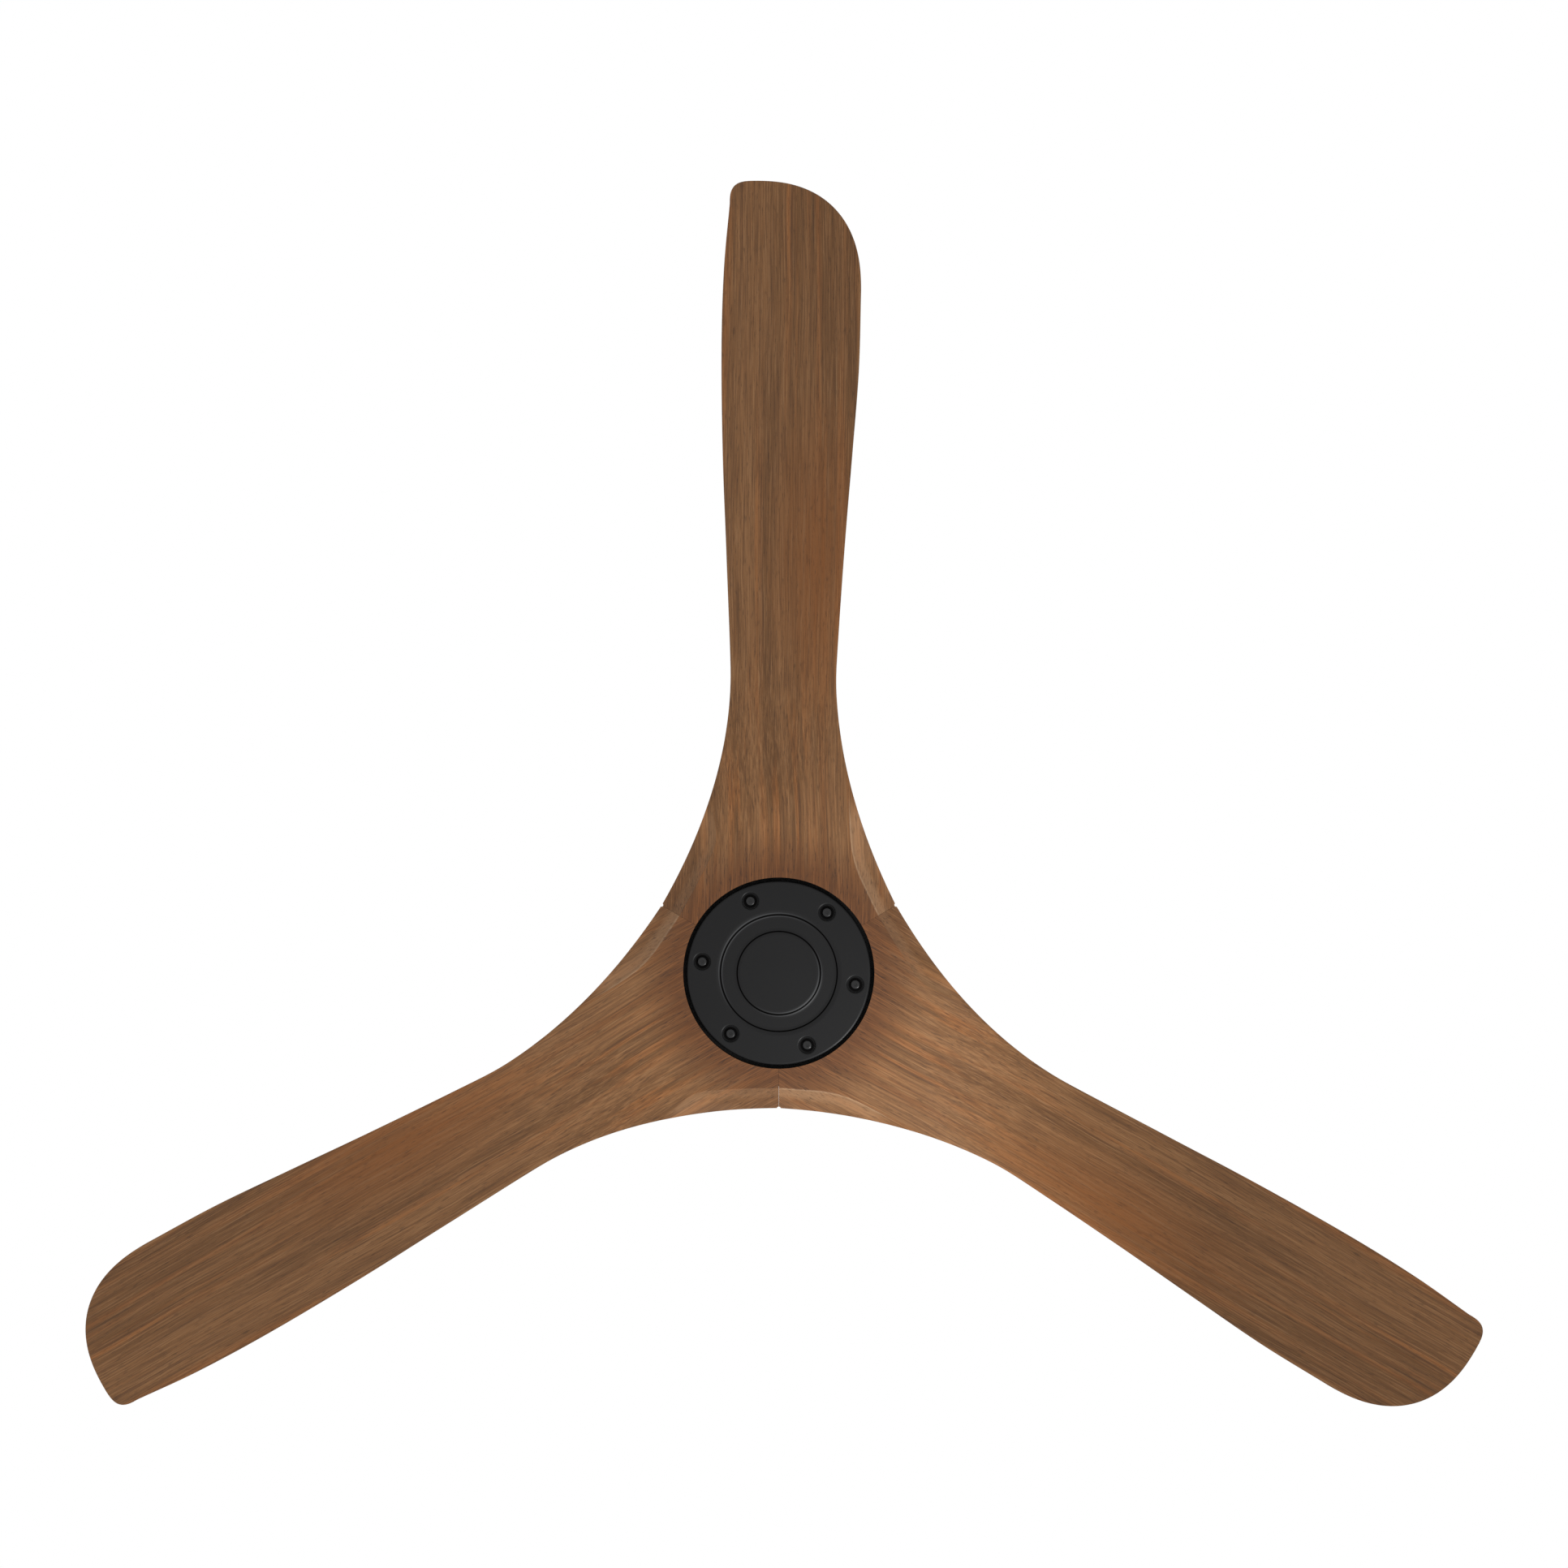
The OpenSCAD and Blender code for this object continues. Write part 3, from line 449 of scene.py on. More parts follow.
def mark_coves(obj):
    mark = obj.data.attributes.new("cove", "FLOAT", "POINT")
    line = obj.data.attributes.new("arris", "FLOAT", "POINT")
    for i, v in enumerate(obj.data.vertices):
        s, u, h = v.co.y, -v.co.x, v.co.z
        if s < 30 or s > 200:
            continue
        lead_w, trail_w = edge_strips(s)
        inside = max(lead_u(s) + lead_w - u, u - trail_u(s) + trail_w)
        strip = lead_w if u < 0 else trail_w
        under = ramp(h, under_face(s, u) + cove_rise + 4, under_face(s, u) + cove_rise + 1)
        wide = ramp(strip, edge_round + 1, edge_round + 9)
        # painted highlight: strongest along the cove's inner side, and weaker on the leading side than on the
        # trailing
        fade = mix(1.0, 0.1, ramp(inside, COVE_BAND, 2 * COVE_BAND)) * (1.0 if u > 0 else 0.45)
        mark.data[i].value = ramp(inside, 0.0, 0.6) * under * wide * fade
        # painted highlight line along the trailing arris
        if u > 0:
            near = ramp(inside, -ARRIS, -0.1) * ramp(inside, 1.7, 0.7)
            line.data[i].value = near * under * wide


mark_coves(first_blade)
print("marked corners:", sum(1 for d in first_blade.data.attributes["cove"].data if d.value > 0.5))

# %% [markdown]
# The three blades are cut from one pattern, so the finished mesh is copied and each copy is turned by a
# third of a turn. The turn goes into the vertices, so every object still sits unturned at the origin.

# %% Place three blades
def placed_blade(i):
    obj = first_blade.copy()
    obj.data = first_blade.data.copy()
    obj.name = obj.data.name = "carved_blade_%d" % (i + 1)
    bpy.context.scene.collection.objects.link(obj)
    turn = Matrix.Rotation(2 * math.pi * i / blade_count, 4, "Z")
    obj.data.transform(Matrix.Translation((0, 0, pad_z)) @ turn @ Matrix.Scale(MM, 4))
    shade(obj)
    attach(obj, "rotor")
    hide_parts("blade_%d" % (i + 1))
    return obj


blades = [placed_blade(i) for i in range(blade_count)]
bpy.data.objects.remove(first_blade)
print("blades placed:", [b.name for b in blades])

# %% [markdown]
# ## Materials
# Colours are picked as ordinary screen values and turned into linear light, which is what shaders work in.
# A material is a web of small nodes, so a few helpers come first: one adds a sum or product, one mixes two
# colours, one stretches noise along the grain and one turns a value's range into another.

# %% Colour and node helpers
def linear(r, g, b):
    """Screen colour, 0 to 255, as linear light with full alpha."""
    def one(c):
        c /= 255
        return c / 12.92 if c <= 0.04045 else ((c + 0.055) / 1.055) ** 2.4
    return (one(r), one(g), one(b), 1.0)


def new_group(name, inputs, outputs):
    group = bpy.data.node_groups.new(name, "ShaderNodeTree")
    for label, kind, value in inputs:
        socket = group.interface.new_socket(label, in_out="INPUT", socket_type=kind)
        if value is not None:
            socket.default_value = value
    for label, kind in outputs:
        group.interface.new_socket(label, in_out="OUTPUT", socket_type=kind)
    start = group.nodes.new("NodeGroupInput")
    end = group.nodes.new("NodeGroupOutput")
    return group, start, end


def math_node(tree, operation, a, b=None, clamp=False):
    """A Math node; a and b are sockets or numbers. Returns its output socket."""
    node = tree.nodes.new("ShaderNodeMath")
    node.operation = operation
    node.use_clamp = clamp
    for k, value in enumerate((a, b)):
        if value is None:
            continue
        if isinstance(value, (int, float)):
            node.inputs[k].default_value = value
        else:
            tree.links.new(value, node.inputs[k])
    return node.outputs[0]


def vector_node(tree, operation, *inputs):
    """A Vector Math node; each input is a socket or three numbers. Returns the node."""
    node = tree.nodes.new("ShaderNodeVectorMath")
    node.operation = operation
    for socket, value in zip(node.inputs, inputs):
        if isinstance(value, tuple):
            socket.default_value = value
        else:
            tree.links.new(value, socket)
    return node


def mix_color(tree, factor, a, b):
    """A Mix node for colours; each argument is a socket, a number or a colour. Returns its output socket."""
    node = tree.nodes.new("ShaderNodeMix")
    node.data_type = "RGBA"
    for key, value in ((0, factor), (6, a), (7, b)):
        if isinstance(value, (int, float, tuple)):
            node.inputs[key].default_value = value
        else:
            tree.links.new(value, node.inputs[key])
    return node.outputs[2]


def stretched_noise(tree, vector, across, along, detail=3.0, rough=0.55, shift=0.0):
    """Noise drawn out along the grain. across and along are the sizes of its features in metres.

    Down through the wood it changes more slowly, so the grain stays in lines where a carved face slants.
    """
    mapping = tree.nodes.new("ShaderNodeMapping")
    mapping.inputs["Scale"].default_value = (1 / across, 1 / along, 0.35 / across)
    mapping.inputs["Location"].default_value = (shift, shift * 0.7, shift * 0.3)
    tree.links.new(vector, mapping.inputs["Vector"])
    noise = tree.nodes.new("ShaderNodeTexNoise")
    noise.inputs["Scale"].default_value = 1.0
    noise.inputs["Detail"].default_value = detail
    noise.inputs["Roughness"].default_value = rough
    tree.links.new(mapping.outputs[0], noise.inputs["Vector"])
    return noise.outputs["Fac"]


def range_node(tree, value, low, high, to_low=0.0, to_high=1.0):
    node = tree.nodes.new("ShaderNodeMapRange")
    node.inputs["From Min"].default_value = low
    node.inputs["From Max"].default_value = high
    node.inputs["To Min"].default_value = to_low
    node.inputs["To Max"].default_value = to_high
    tree.links.new(value, node.inputs["Value"])
    return node.outputs["Result"]


print("screen value 128 is %.3f in linear light" % linear(128, 128, 128)[0])

# %% [markdown]
# ## Wood grain
# The blades look like oiled walnut-brown timber. Such a face has broad bands that run the whole length, finer
# streaks and threads inside them, and pores, which are short dark dashes where vessels were cut. Each is
# noise stretched along the grain. The group takes the place on the blade, so each blade can turn the
# pattern to lie along its own length. A soft patch warms the colour where the heartwood shows, and the pad
# round the plate is darker. The wall of the opening is painted black as shade, so the gap round the plate
# stays dark, and a painted highlight lightens the coves and the trailing arris.

# %% Colours of the wood
DARK, LIGHT = linear(111, 75, 42), linear(137, 96, 59)
AMBER, COVE_HIGHLIGHT = linear(158, 100, 52), linear(168, 132, 98)
SHADOW, GLEAM = linear(84, 56, 35), linear(172, 130, 90)
PORE, DEEP, ARRIS_HIGHLIGHT = linear(50, 33, 22), linear(88, 51, 23), linear(205, 172, 138)
SHADE_BLACK, EMBER, HEART = linear(9, 8, 8), linear(166, 106, 58), linear(130, 79, 37)
print("light bands are %.1f times as bright as dark ones" % (LIGHT[0] / DARK[0]))

# %% Places on the blade
# in metres: the middle and the size of the heartwood patch, and where the dark pad begins and is full
HEART_U, HEART_S, HEART_WIDTH, HEART_LENGTH = 0.036, 0.40, 0.045, 0.14
PAD_EDGE, PAD_FULL = 0.140, 0.100
hub_top = pad_z + hub_height * MM


def wandering(tree, place):
    """The place, shifted a little by broad noise, so that the grain doesn't run dead straight."""
    noise = tree.nodes.new("ShaderNodeTexNoise")
    noise.inputs["Scale"].default_value = 5.0
    noise.inputs["Detail"].default_value = 1.0
    tree.links.new(place, noise.inputs["Vector"])
    return vector_node(tree, "MULTIPLY_ADD", noise.outputs["Color"], (0.012, 0.0, 0.004), place).outputs[0]


def from_axis(tree, place):
    level = vector_node(tree, "MULTIPLY", place, (1.0, 1.0, 0.0))
    return vector_node(tree, "LENGTH", level.outputs[0]).outputs["Value"]


def heartwood(tree, place):
    """1 in the middle of the warm patch, on the trailing half at mid blade, and 0 past its border."""
    centred = vector_node(tree, "ADD", place, (HEART_U, -HEART_S, 0.0))
    shaped = vector_node(tree, "MULTIPLY", centred.outputs[0], (1 / HEART_WIDTH, 1 / HEART_LENGTH, 0.0))
    return range_node(tree, vector_node(tree, "LENGTH", shaped.outputs[0]).outputs["Value"], 1.2, 0.1)


def opening_wall(tree, place, radius):
    """1 on the wall of the round opening, and 0 on the underside, the top and the rest."""
    parts = tree.nodes.new("ShaderNodeSeparateXYZ")
    tree.links.new(place, parts.inputs[0])
    height = parts.outputs["Z"]
    inside = range_node(tree, radius, (rebate_r + 0.5) * MM, (rebate_r + 0.3) * MM)
    raised = range_node(tree, height, pad_z + 0.2 * MM, pad_z + 0.4 * MM)
    below = range_node(tree, height, hub_top - 0.2 * MM, hub_top - 0.6 * MM)
    return math_node(tree, "MULTIPLY", math_node(tree, "MULTIPLY", inside, raised), below)


print("heartwood %.0f mm from the axis" % (HEART_S / MM))

# %% The grain group
def wood_group():
    inputs = [("Vector", "NodeSocketVector", None), ("Cove", "NodeSocketFloat", 0.0),
              ("Arris", "NodeSocketFloat", 0.0)]
    outputs = [("Color", "NodeSocketColor"), ("Roughness", "NodeSocketFloat"), ("Height", "NodeSocketFloat")]
    group, start, end = new_group("walnut_grain", inputs, outputs)
    place = start.outputs["Vector"]
    grain = wandering(group, place)
    bands = stretched_noise(group, grain, 0.017, 0.90, 2.0, 0.5)
    amber = stretched_noise(group, grain, 0.010, 0.75, 2.0, 0.5, 5.3)
    streaks = stretched_noise(group, grain, 0.0028, 0.32, 3.0, 0.6, 3.1)
    threads = stretched_noise(group, grain, 0.0011, 0.070, 3.0, 0.65, 7.7)
    pores = stretched_noise(group, grain, 0.0008, 0.0100, 2.0, 0.5, 11.3)
    lines = stretched_noise(group, grain, 0.0008, 0.045, 2.0, 0.5, 17.9)

    tone = mix_color(group, range_node(group, bands, 0.36, 0.62), DARK, LIGHT)
    tone = mix_color(group, range_node(group, amber, 0.50, 0.68, 0.0, 0.75), tone, AMBER)
    tone = mix_color(group, range_node(group, streaks, 0.52, 0.26, 0.0, 0.48), tone, SHADOW)
    tone = mix_color(group, range_node(group, threads, 0.52, 0.30, 0.0, 0.74), tone, SHADOW)
    tone = mix_color(group, range_node(group, threads, 0.52, 0.74, 0.0, 0.55), tone, GLEAM)
    patchy = range_node(group, streaks, 0.25, 0.6, 0.3, 0.85)
    tone = mix_color(group, math_node(group, "MULTIPLY", heartwood(group, place), patchy), tone, HEART)
    # the flat pad round the plate is darker, and its pores stand out
    radius = from_axis(group, place)
    pad = range_node(group, radius, PAD_EDGE, PAD_FULL)
    tone = mix_color(group, math_node(group, "MULTIPLY", pad, 0.86), tone, DEEP)
    # thin ember-coloured lines between the dark ones, strongest on the pad
    ember = range_node(group, lines, 0.52, 0.72)
    glow = math_node(group, "ADD", 0.14, math_node(group, "MULTIPLY", pad, 0.22))
    tone = mix_color(group, math_node(group, "MULTIPLY", ember, glow), tone, EMBER)
    # painted highlight: the routed cove is lightened along its inner side, which also makes its grain fainter
    tone = mix_color(group, math_node(group, "MULTIPLY", start.outputs["Cove"], 0.48), tone, COVE_HIGHLIGHT)
    # painted highlight: a thin light line along the trailing arris, broken up by the threads
    broken = range_node(group, threads, 0.3, 0.7, 0.10, 0.42)
    arris_highlight = math_node(group, "MULTIPLY", start.outputs["Arris"], broken)
    tone = mix_color(group, arris_highlight, tone, ARRIS_HIGHLIGHT)
    # pores darken the colour and sink a little into the face
    pore = range_node(group, pores, 0.58, 0.70)
    pore_depth = math_node(group, "ADD", 0.42, math_node(group, "MULTIPLY", pad, 0.30))
    tone = mix_color(group, math_node(group, "MULTIPLY", pore, pore_depth), tone, PORE)
    # painted shade: the wall of the opening is coloured black, so the gap round the plate reads as deep shade
    # and no bare wood shows there
    tone = mix_color(group, opening_wall(group, place, radius), tone, SHADE_BLACK)
    group.links.new(tone, end.inputs["Color"])
    rough = range_node(group, streaks, 0.3, 0.7, 0.48, 0.60)
    group.links.new(rough, end.inputs["Roughness"])
    height = math_node(group, "SUBTRACT", math_node(group, "MULTIPLY", streaks, 0.4), pore)
    group.links.new(height, end.inputs["Height"])
    return group


walnut = wood_group()
print("nodes in the grain group:", len(walnut.nodes))

# %% Wood on the blades
def wood_material(i):
    material = bpy.data.materials.new("oiled_walnut_%d" % (i + 1))
    material.use_nodes = True
    tree = material.node_tree
    surface = tree.nodes["Principled BSDF"]
    place = tree.nodes.new("ShaderNodeTexCoord")
    turn = tree.nodes.new("ShaderNodeMapping")
    turn.inputs["Rotation"].default_value = (0, 0, -2 * math.pi * i / blade_count)
    tree.links.new(place.outputs["Object"], turn.inputs["Vector"])
    grain = tree.nodes.new("ShaderNodeGroup")
    grain.node_tree = walnut
    tree.links.new(turn.outputs[0], grain.inputs["Vector"])
    for mark, socket in (("cove", "Cove"), ("arris", "Arris")):
        reader = tree.nodes.new("ShaderNodeAttribute")
        reader.attribute_name = mark
        tree.links.new(reader.outputs["Fac"], grain.inputs[socket])
    bump = tree.nodes.new("ShaderNodeBump")
    bump.inputs["Strength"].default_value = 0.25
    bump.inputs["Distance"].default_value = 0.0003
    tree.links.new(grain.outputs["Height"], bump.inputs["Height"])
    tree.links.new(grain.outputs["Color"], surface.inputs["Base Color"])
    tree.links.new(grain.outputs["Roughness"], surface.inputs["Roughness"])
    tree.links.new(bump.outputs[0], surface.inputs["Normal"])
    surface.inputs["Specular IOR Level"].default_value = 0.3
    return material


for i, blade in enumerate(blades):
    blade.data.materials.clear()
    blade.data.materials.append(wood_material(i))
print("wood materials made:", blade_count)

# %% [markdown]
# ## Metal, plastic and coating
# The other finishes are quieter. Powder coat has a faint orange-peel texture, zinc plate a slight mottle,
# cast aluminium a grainy skin and moulded plastic almost none. One group makes the mottle for them all: it
# varies colour and gloss a little and gives the bump. A short table then names each finish with its colour,
# gloss and texture.

# %% The mottle group
def mottle_group():
    inputs = [
        ("Color", "NodeSocketColor", (0.5, 0.5, 0.5, 1.0)),
        ("Roughness", "NodeSocketFloat", 0.5),
        ("Size", "NodeSocketFloat", 0.002),
        ("Variation", "NodeSocketFloat", 0.08),
    ]
    outputs = [("Color", "NodeSocketColor"), ("Roughness", "NodeSocketFloat"), ("Height", "NodeSocketFloat")]
    group, start, end = new_group("mottle", inputs, outputs)
    place = group.nodes.new("ShaderNodeTexCoord")
    fine = group.nodes.new("ShaderNodeTexNoise")
    fine.inputs["Detail"].default_value = 2.0
    group.links.new(place.outputs["Object"], fine.inputs["Vector"])
    group.links.new(math_node(group, "DIVIDE", 1.0, start.outputs["Size"]), fine.inputs["Scale"])
    broad = group.nodes.new("ShaderNodeTexNoise")
    broad.inputs["Scale"].default_value = 14.0
    broad.inputs["Detail"].default_value = 3.0
    group.links.new(place.outputs["Object"], broad.inputs["Vector"])
    swing = math_node(group, "MULTIPLY", math_node(group, "SUBTRACT", broad.outputs["Fac"], 0.5),
                      start.outputs["Variation"])
    rough = math_node(group, "ADD", start.outputs["Roughness"], swing, clamp=True)
    group.links.new(rough, end.inputs["Roughness"])
    lift = math_node(group, "ADD", 1.0, math_node(group, "MULTIPLY", swing, 1.5))
    lifted = vector_node(group, "SCALE", start.outputs["Color"])
    group.links.new(lift, lifted.inputs["Scale"])
    group.links.new(lifted.outputs[0], end.inputs["Color"])
    group.links.new(fine.outputs["Fac"], end.inputs["Height"])
    return group


mottle = mottle_group()
print("nodes in the mottle group:", len(mottle.nodes))

# %% The table of finishes
def finish_material(name, color, roughness, metallic=0.0, size=0.002, variation=0.1, bump=0.05, specular=0.5):
    material = bpy.data.materials.new(name)
    material.use_nodes = True
    tree = material.node_tree
    surface = tree.nodes["Principled BSDF"]
    skin = tree.nodes.new("ShaderNodeGroup")
    skin.node_tree = mottle
    skin.inputs["Color"].default_value = color
    skin.inputs["Roughness"].default_value = roughness
    skin.inputs["Size"].default_value = size
    skin.inputs["Variation"].default_value = variation
    tree.links.new(skin.outputs["Color"], surface.inputs["Base Color"])
    tree.links.new(skin.outputs["Roughness"], surface.inputs["Roughness"])
    relief = tree.nodes.new("ShaderNodeBump")
    relief.inputs["Strength"].default_value = bump
    relief.inputs["Distance"].default_value = 0.0002
    tree.links.new(skin.outputs["Height"], relief.inputs["Height"])
    tree.links.new(relief.outputs[0], surface.inputs["Normal"])
    surface.inputs["Metallic"].default_value = metallic
    surface.inputs["Specular IOR Level"].default_value = specular
    return material


FINISHES = {
    "black_metal": dict(color=linear(13, 13, 14), roughness=0.40, size=0.0012, bump=0.08, specular=0.27),
    "black_screw": dict(color=linear(10, 10, 11), roughness=0.28, size=0.001, bump=0.03),
    "zinc_steel": dict(color=linear(196, 198, 202), roughness=0.34, metallic=1.0, size=0.004),
    "cast_aluminium": dict(color=linear(188, 189, 192), roughness=0.5, metallic=1.0, size=0.0015, bump=0.2),
    "lamination": dict(color=linear(120, 122, 128), roughness=0.45, metallic=0.9, size=0.001),
    "copper": dict(color=linear(184, 96, 48), roughness=0.3, metallic=0.8, size=0.0008, bump=0.4),
    "magnet": dict(color=linear(78, 78, 84), roughness=0.6, metallic=0.4, size=0.001, bump=0.15),
    "bearing_steel": dict(color=linear(206, 208, 212), roughness=0.16, metallic=1.0, size=0.004, bump=0.0),
    "brass_cage": dict(color=linear(205, 170, 98), roughness=0.3, metallic=1.0, size=0.003),
    "ball_plastic": dict(color=linear(48, 48, 50), roughness=0.45, size=0.0015),
    "receiver_plastic": dict(color=linear(210, 210, 204), roughness=0.5, size=0.0012),
}
finishes = {name: finish_material(name, **values) for name, values in FINISHES.items()}
for part in frame["record"]["subparts"]:
    if part["material_slot"] in finishes:
        mesh = nodes[part["node"]].data
        mesh.materials.clear()
        mesh.materials.append(finishes[part["material_slot"]])
print("finishes:", ", ".join(finishes))

# %% [markdown]
# The bottom plate, its trim ring and its cap share the same coat. Two masks paint light and shade into it, so
# that their turned shape reads clearly from below: painted shade darkens the joints and the six screw
# pockets, and a painted highlight lightens the lips beside the joints, on one side of the axis for the ring's
# and on the other for the cap's. All follow the radius.
# A pocket is found by folding the angle to the nearest screw, so one rule makes all six.

# %% Circles and pockets on the plate
JOINTS = (40.0, 56.0)    # radii of the joints round the cap and round the trim ring
PLATE_SCREW_RING, PLATE_SCREW_START, PLATE_SCREWS = 74.3, 8.5, 6
POCKET = 7.8             # radius of a screw pocket
PAINTED_HIGHLIGHT_GREY = linear(72, 73, 75)


def ring_mask(tree, radius, centre, half):
    """1 on a circle of this radius in millimetres, falling to 0 at half a width on either side."""
    off = math_node(tree, "ABSOLUTE", math_node(tree, "SUBTRACT", radius, centre * MM))
    return range_node(tree, off, half * MM, half * MM * 0.3)


def length_of(tree, a, b):
    """Length of a level vector from its two parts."""
    squares = math_node(tree, "ADD", math_node(tree, "MULTIPLY", a, a), math_node(tree, "MULTIPLY", b, b))
    return math_node(tree, "SQRT", squares)


def screw_distance(tree, x, y, radius):
    """Distance from the nearest plate screw's axis."""
    angle = math_node(tree, "SUBTRACT", math_node(tree, "ARCTAN2", y, x), math.radians(PLATE_SCREW_START))
    folded = math_node(tree, "PINGPONG", angle, math.pi / PLATE_SCREWS)
    ahead = math_node(tree, "MULTIPLY", radius, math_node(tree, "COSINE", folded))
    ahead = math_node(tree, "SUBTRACT", ahead, PLATE_SCREW_RING * MM)
    aside = math_node(tree, "MULTIPLY", radius, math_node(tree, "SINE", folded))
    return length_of(tree, ahead, aside)


print("plate joints at", JOINTS, "mm")

# %% Painted shade in the joints and pockets, painted highlights on the lips
def painted_light_group():
    inputs = [("Vector", "NodeSocketVector", None)]
    outputs = [("PaintedShade", "NodeSocketFloat"), ("PaintedHighlight", "NodeSocketFloat")]
    group, start, end = new_group("plate_painted_light", inputs, outputs)
    parts = group.nodes.new("ShaderNodeSeparateXYZ")
    group.links.new(start.outputs["Vector"], parts.inputs[0])
    x, y = parts.outputs["X"], parts.outputs["Y"]
    radius = length_of(group, x, y)
    away = screw_distance(group, x, y, radius)
    # painted shade: the screw pockets and the joints are darkened towards black
    painted_shade = range_node(group, away, (POCKET - 0.2) * MM, (POCKET - 1.6) * MM, 0.0, 0.9)
    for joint in JOINTS:
        painted_shade = math_node(group, "MAXIMUM", painted_shade, ring_mask(group, radius, joint, 1.0))
    group.links.new(painted_shade, end.inputs["PaintedShade"])

    # painted highlight: the ring's lips are lightened on one side of the axis and the cap's on the other,
    # where their rounded edges would catch the light
    side = math_node(group, "DIVIDE", math_node(group, "ADD", x, y), math_node(group, "ADD", radius, MM))
    near = range_node(group, side, 0.1, 1.2)
    far = range_node(group, side, -0.1, -1.2)
    lips = math_node(group, "ADD", ring_mask(group, radius, JOINTS[1] - 1.4, 0.6),
                     ring_mask(group, radius, JOINTS[1] + 1.6, 0.7))
    edges = math_node(group, "ADD", ring_mask(group, radius, JOINTS[0] - 1.5, 0.7),
                      ring_mask(group, radius, JOINTS[0] + 1.4, 0.6))
    painted_highlight = math_node(group, "ADD", math_node(group, "MULTIPLY", lips, near),
                       math_node(group, "MULTIPLY", edges, far))
    group.links.new(math_node(group, "MULTIPLY", painted_highlight, 0.5, clamp=True), end.inputs["PaintedHighlight"])
    return group


def plate_material():
    material = finish_material("plate_with_painted_light", **FINISHES["black_metal"])
    tree = material.node_tree
    surface = tree.nodes["Principled BSDF"]
    coat = surface.inputs["Base Color"].links[0].from_socket
    place = tree.nodes.new("ShaderNodeTexCoord")
    painted_light = tree.nodes.new("ShaderNodeGroup")
    painted_light.node_tree = painted_light_group()
    tree.links.new(place.outputs["Object"], painted_light.inputs["Vector"])
    # painted shade in the joints and pockets, then painted highlights on the lips
    tone = mix_color(tree, painted_light.outputs["PaintedShade"], coat, SHADE_BLACK)
    tone = mix_color(tree, painted_light.outputs["PaintedHighlight"], tone, PAINTED_HIGHLIGHT_GREY)
    tree.links.new(tone, surface.inputs["Base Color"])
    # painted shade: the joints and pockets are also made a black metal, which reflects almost nothing, so
    # they stay dark
    tree.links.new(painted_light.outputs["PaintedShade"], surface.inputs["Metallic"])
    return material


plate_with_painted_light = plate_material()
for name in ("bottom_plate", "trim_ring", "centre_cap"):
    nodes[name].data.materials.clear()
    nodes[name].data.materials.append(plate_with_painted_light)
print("joints, pockets and lips drawn on the plate, its ring and its cap")

# %% [markdown]
# ## Studio
# The fan hangs in plain bright surroundings. A pale floor lies well below it and shows only its upper
# side, so a camera underneath looks straight through to the fan. The light is broad and soft. Two small
# lamps below, on one side, have a narrow spread that reaches only the hub, so that the plate's rims and
# pockets show their shape, and a large one above lights the parts over the blades.

# %% Floor
FLOOR_DROP, FLOOR_RADIUS = 1.3, 14.0
FLOOR_COLOR = (0.86, 0.86, 0.86, 1.0)


def floor_material():
    material = bpy.data.materials.new("pale_floor")
    material.use_nodes = True
    tree = material.node_tree
    surface = tree.nodes["Principled BSDF"]
    surface.inputs["Base Color"].default_value = FLOOR_COLOR
    surface.inputs["Roughness"].default_value = 0.9
    clear = tree.nodes.new("ShaderNodeBsdfTransparent")
    side = tree.nodes.new("ShaderNodeNewGeometry")
    either = tree.nodes.new("ShaderNodeMixShader")
    tree.links.new(side.outputs["Backfacing"], either.inputs[0])
    tree.links.new(surface.outputs[0], either.inputs[1])
    tree.links.new(clear.outputs[0], either.inputs[2])
    tree.links.new(either.outputs[0], tree.nodes["Material Output"].inputs["Surface"])
    return material


floor_mesh = bmesh.new()
bmesh.ops.create_circle(floor_mesh, cap_ends=True, segments=64, radius=FLOOR_RADIUS)
bmesh.ops.translate(floor_mesh, verts=floor_mesh.verts[:], vec=(0, 0, cad_low.z - FLOOR_DROP))
floor = mesh_object("floor", floor_mesh)
floor.data.materials.append(floor_material())
print("floor at z = %.2f m" % (cad_low.z - FLOOR_DROP))

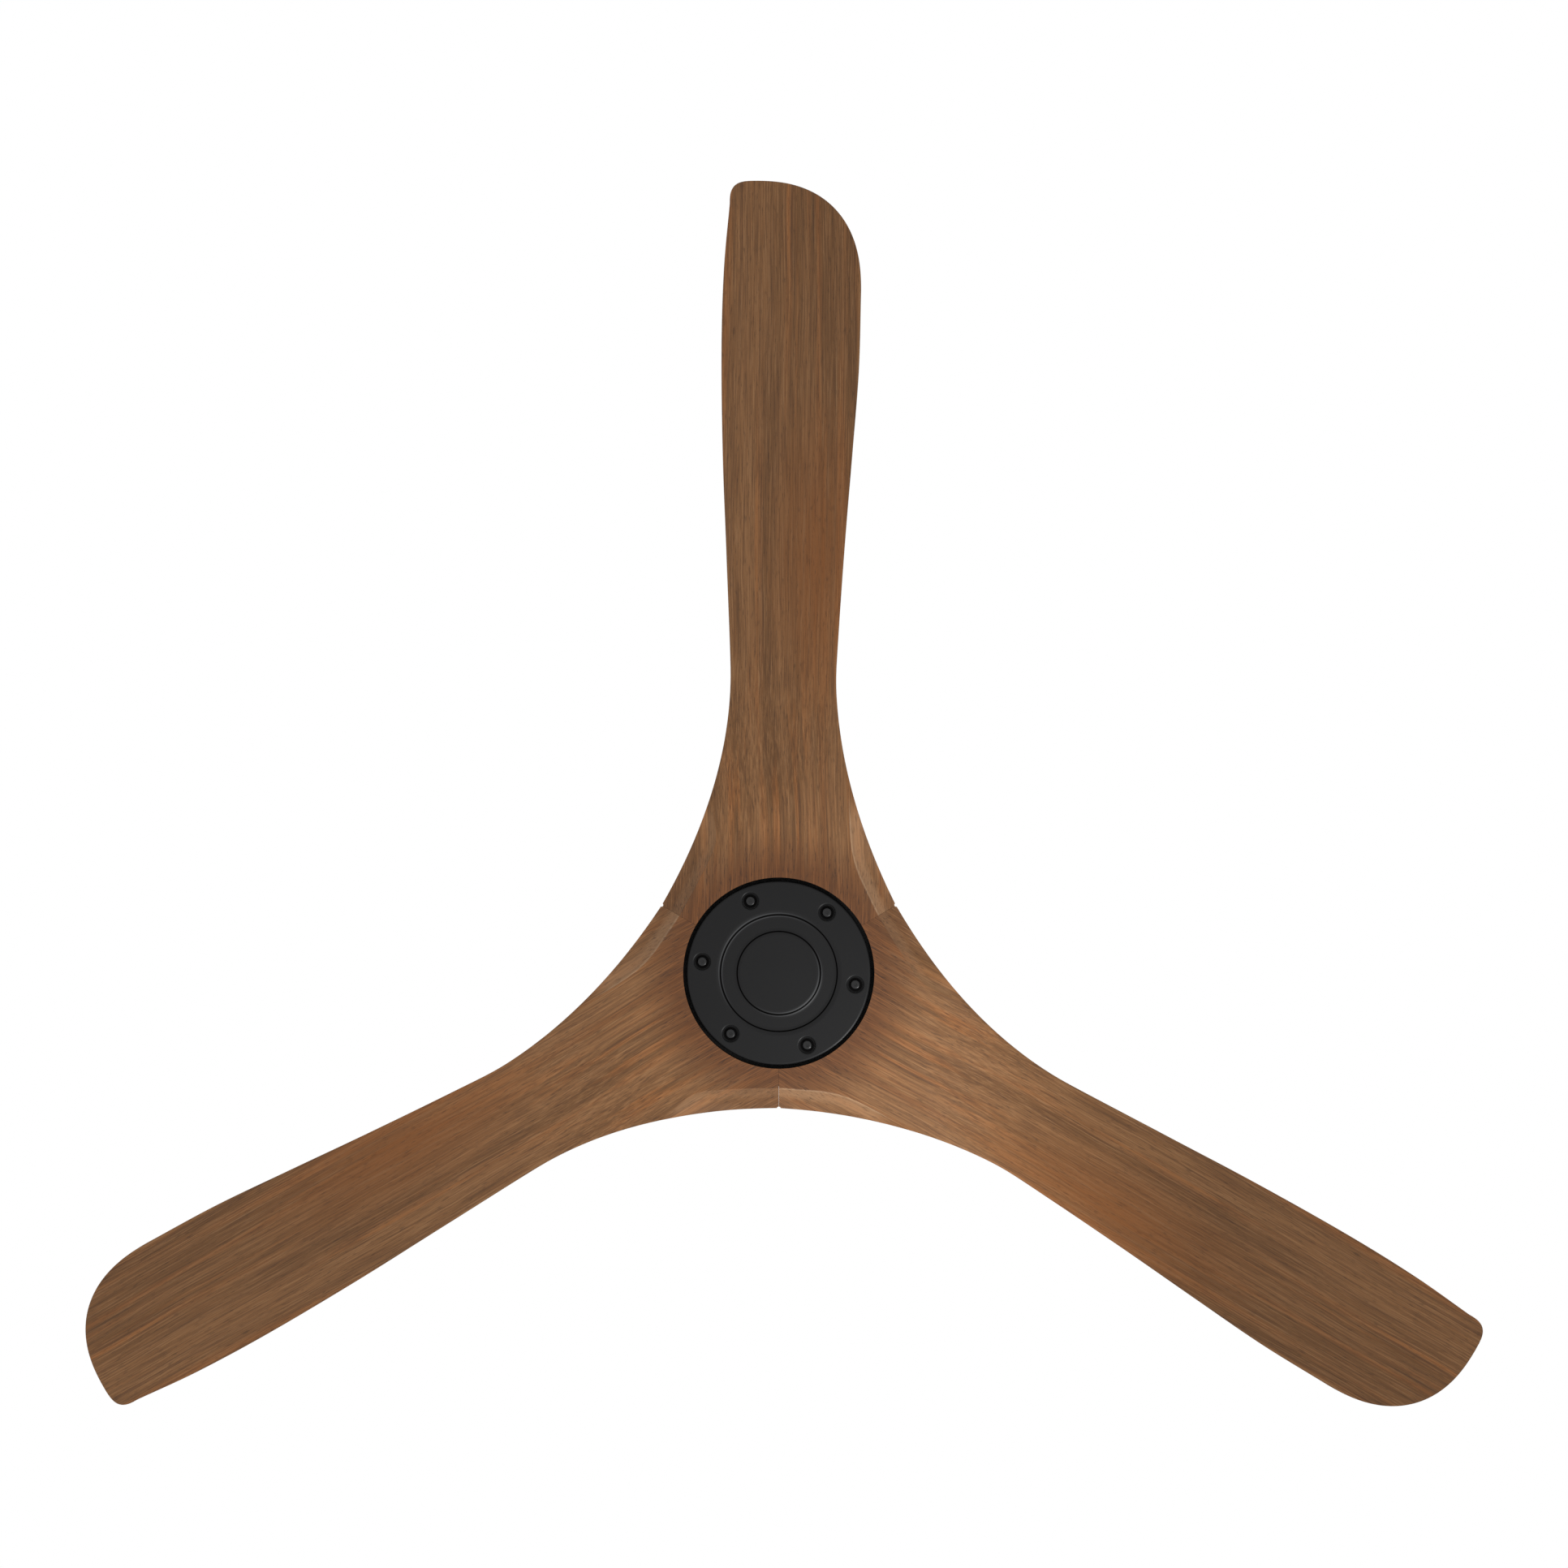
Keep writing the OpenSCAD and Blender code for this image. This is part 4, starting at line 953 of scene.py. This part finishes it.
# %% Light
def soft_light(name, location, target, size, power, spread=180):
    """A disc of light aimed at a point. A smaller spread, in degrees, keeps it off its surroundings."""
    light = bpy.data.lights.new(name, "AREA")
    light.spread = math.radians(spread)
    light.shape = "DISK"
    light.size = size
    light.energy = power
    lamp = bpy.data.objects.new(name, light)
    lamp.location = location
    aim = Vector(target) - Vector(location)
    lamp.rotation_euler = aim.to_track_quat("-Z", "Y").to_euler()
    bpy.context.scene.collection.objects.link(lamp)
    return lamp


hub = Vector((0, 0, pad_z))
soft_light("low_key", (-0.25, -0.25, pad_z - 0.45), hub, 0.2, 0.19, 70)
soft_light("rim_light", (-0.46, -0.46, pad_z - 0.28), hub, 0.12, 0.30, 70)
soft_light("top_key", (2.0, -2.4, 2.4), hub, 1.8, 70)

# the background is seen brighter than it lights the fan
SEEN_STRENGTH, LIT_STRENGTH = 1.0, 0.69
world = bpy.data.worlds.new("studio")
world.use_nodes = True
bpy.context.scene.world = world
tree = world.node_tree
seen = tree.nodes["Background"]
seen.inputs["Color"].default_value = (1, 1, 1, 1)
seen.inputs["Strength"].default_value = SEEN_STRENGTH
lit = tree.nodes.new("ShaderNodeBackground")
lit.inputs["Color"].default_value = (1, 1, 1, 1)
lit.inputs["Strength"].default_value = LIT_STRENGTH
ray = tree.nodes.new("ShaderNodeLightPath")
choose = tree.nodes.new("ShaderNodeMixShader")
tree.links.new(ray.outputs["Is Camera Ray"], choose.inputs[0])
tree.links.new(lit.outputs[0], choose.inputs[1])
tree.links.new(seen.outputs[0], choose.inputs[2])
tree.links.new(choose.outputs[0], tree.nodes["World Output"].inputs["Surface"])
bpy.context.scene.view_settings.view_transform = "Standard"

# %% [markdown]
# ## Camera
# The view is from straight below through a long lens, so the blades keep their true outline. The camera
# stands under a point a little in front of the hub, which leaves the same space above the upright blade
# as beside the two others.

# %% Camera
FIELD = 1.5046          # width of the picture at the hub's underside, in metres
AIM_X, AIM_Y = -0.0050, 0.1815
camera_data = bpy.data.cameras.new("camera")
camera_data.lens = 200
camera_data.sensor_width = 36
distance = FIELD * camera_data.lens / camera_data.sensor_width
camera_data.clip_end = 100
camera = bpy.data.objects.new("camera", camera_data)
camera.location = (AIM_X, AIM_Y, pad_z - distance)
camera.rotation_euler = Matrix(((-1, 0, 0), (0, 1, 0), (0, 0, -1))).to_euler()
bpy.context.scene.collection.objects.link(camera)
bpy.context.scene.camera = camera
print("camera %.2f m below the hub" % distance)
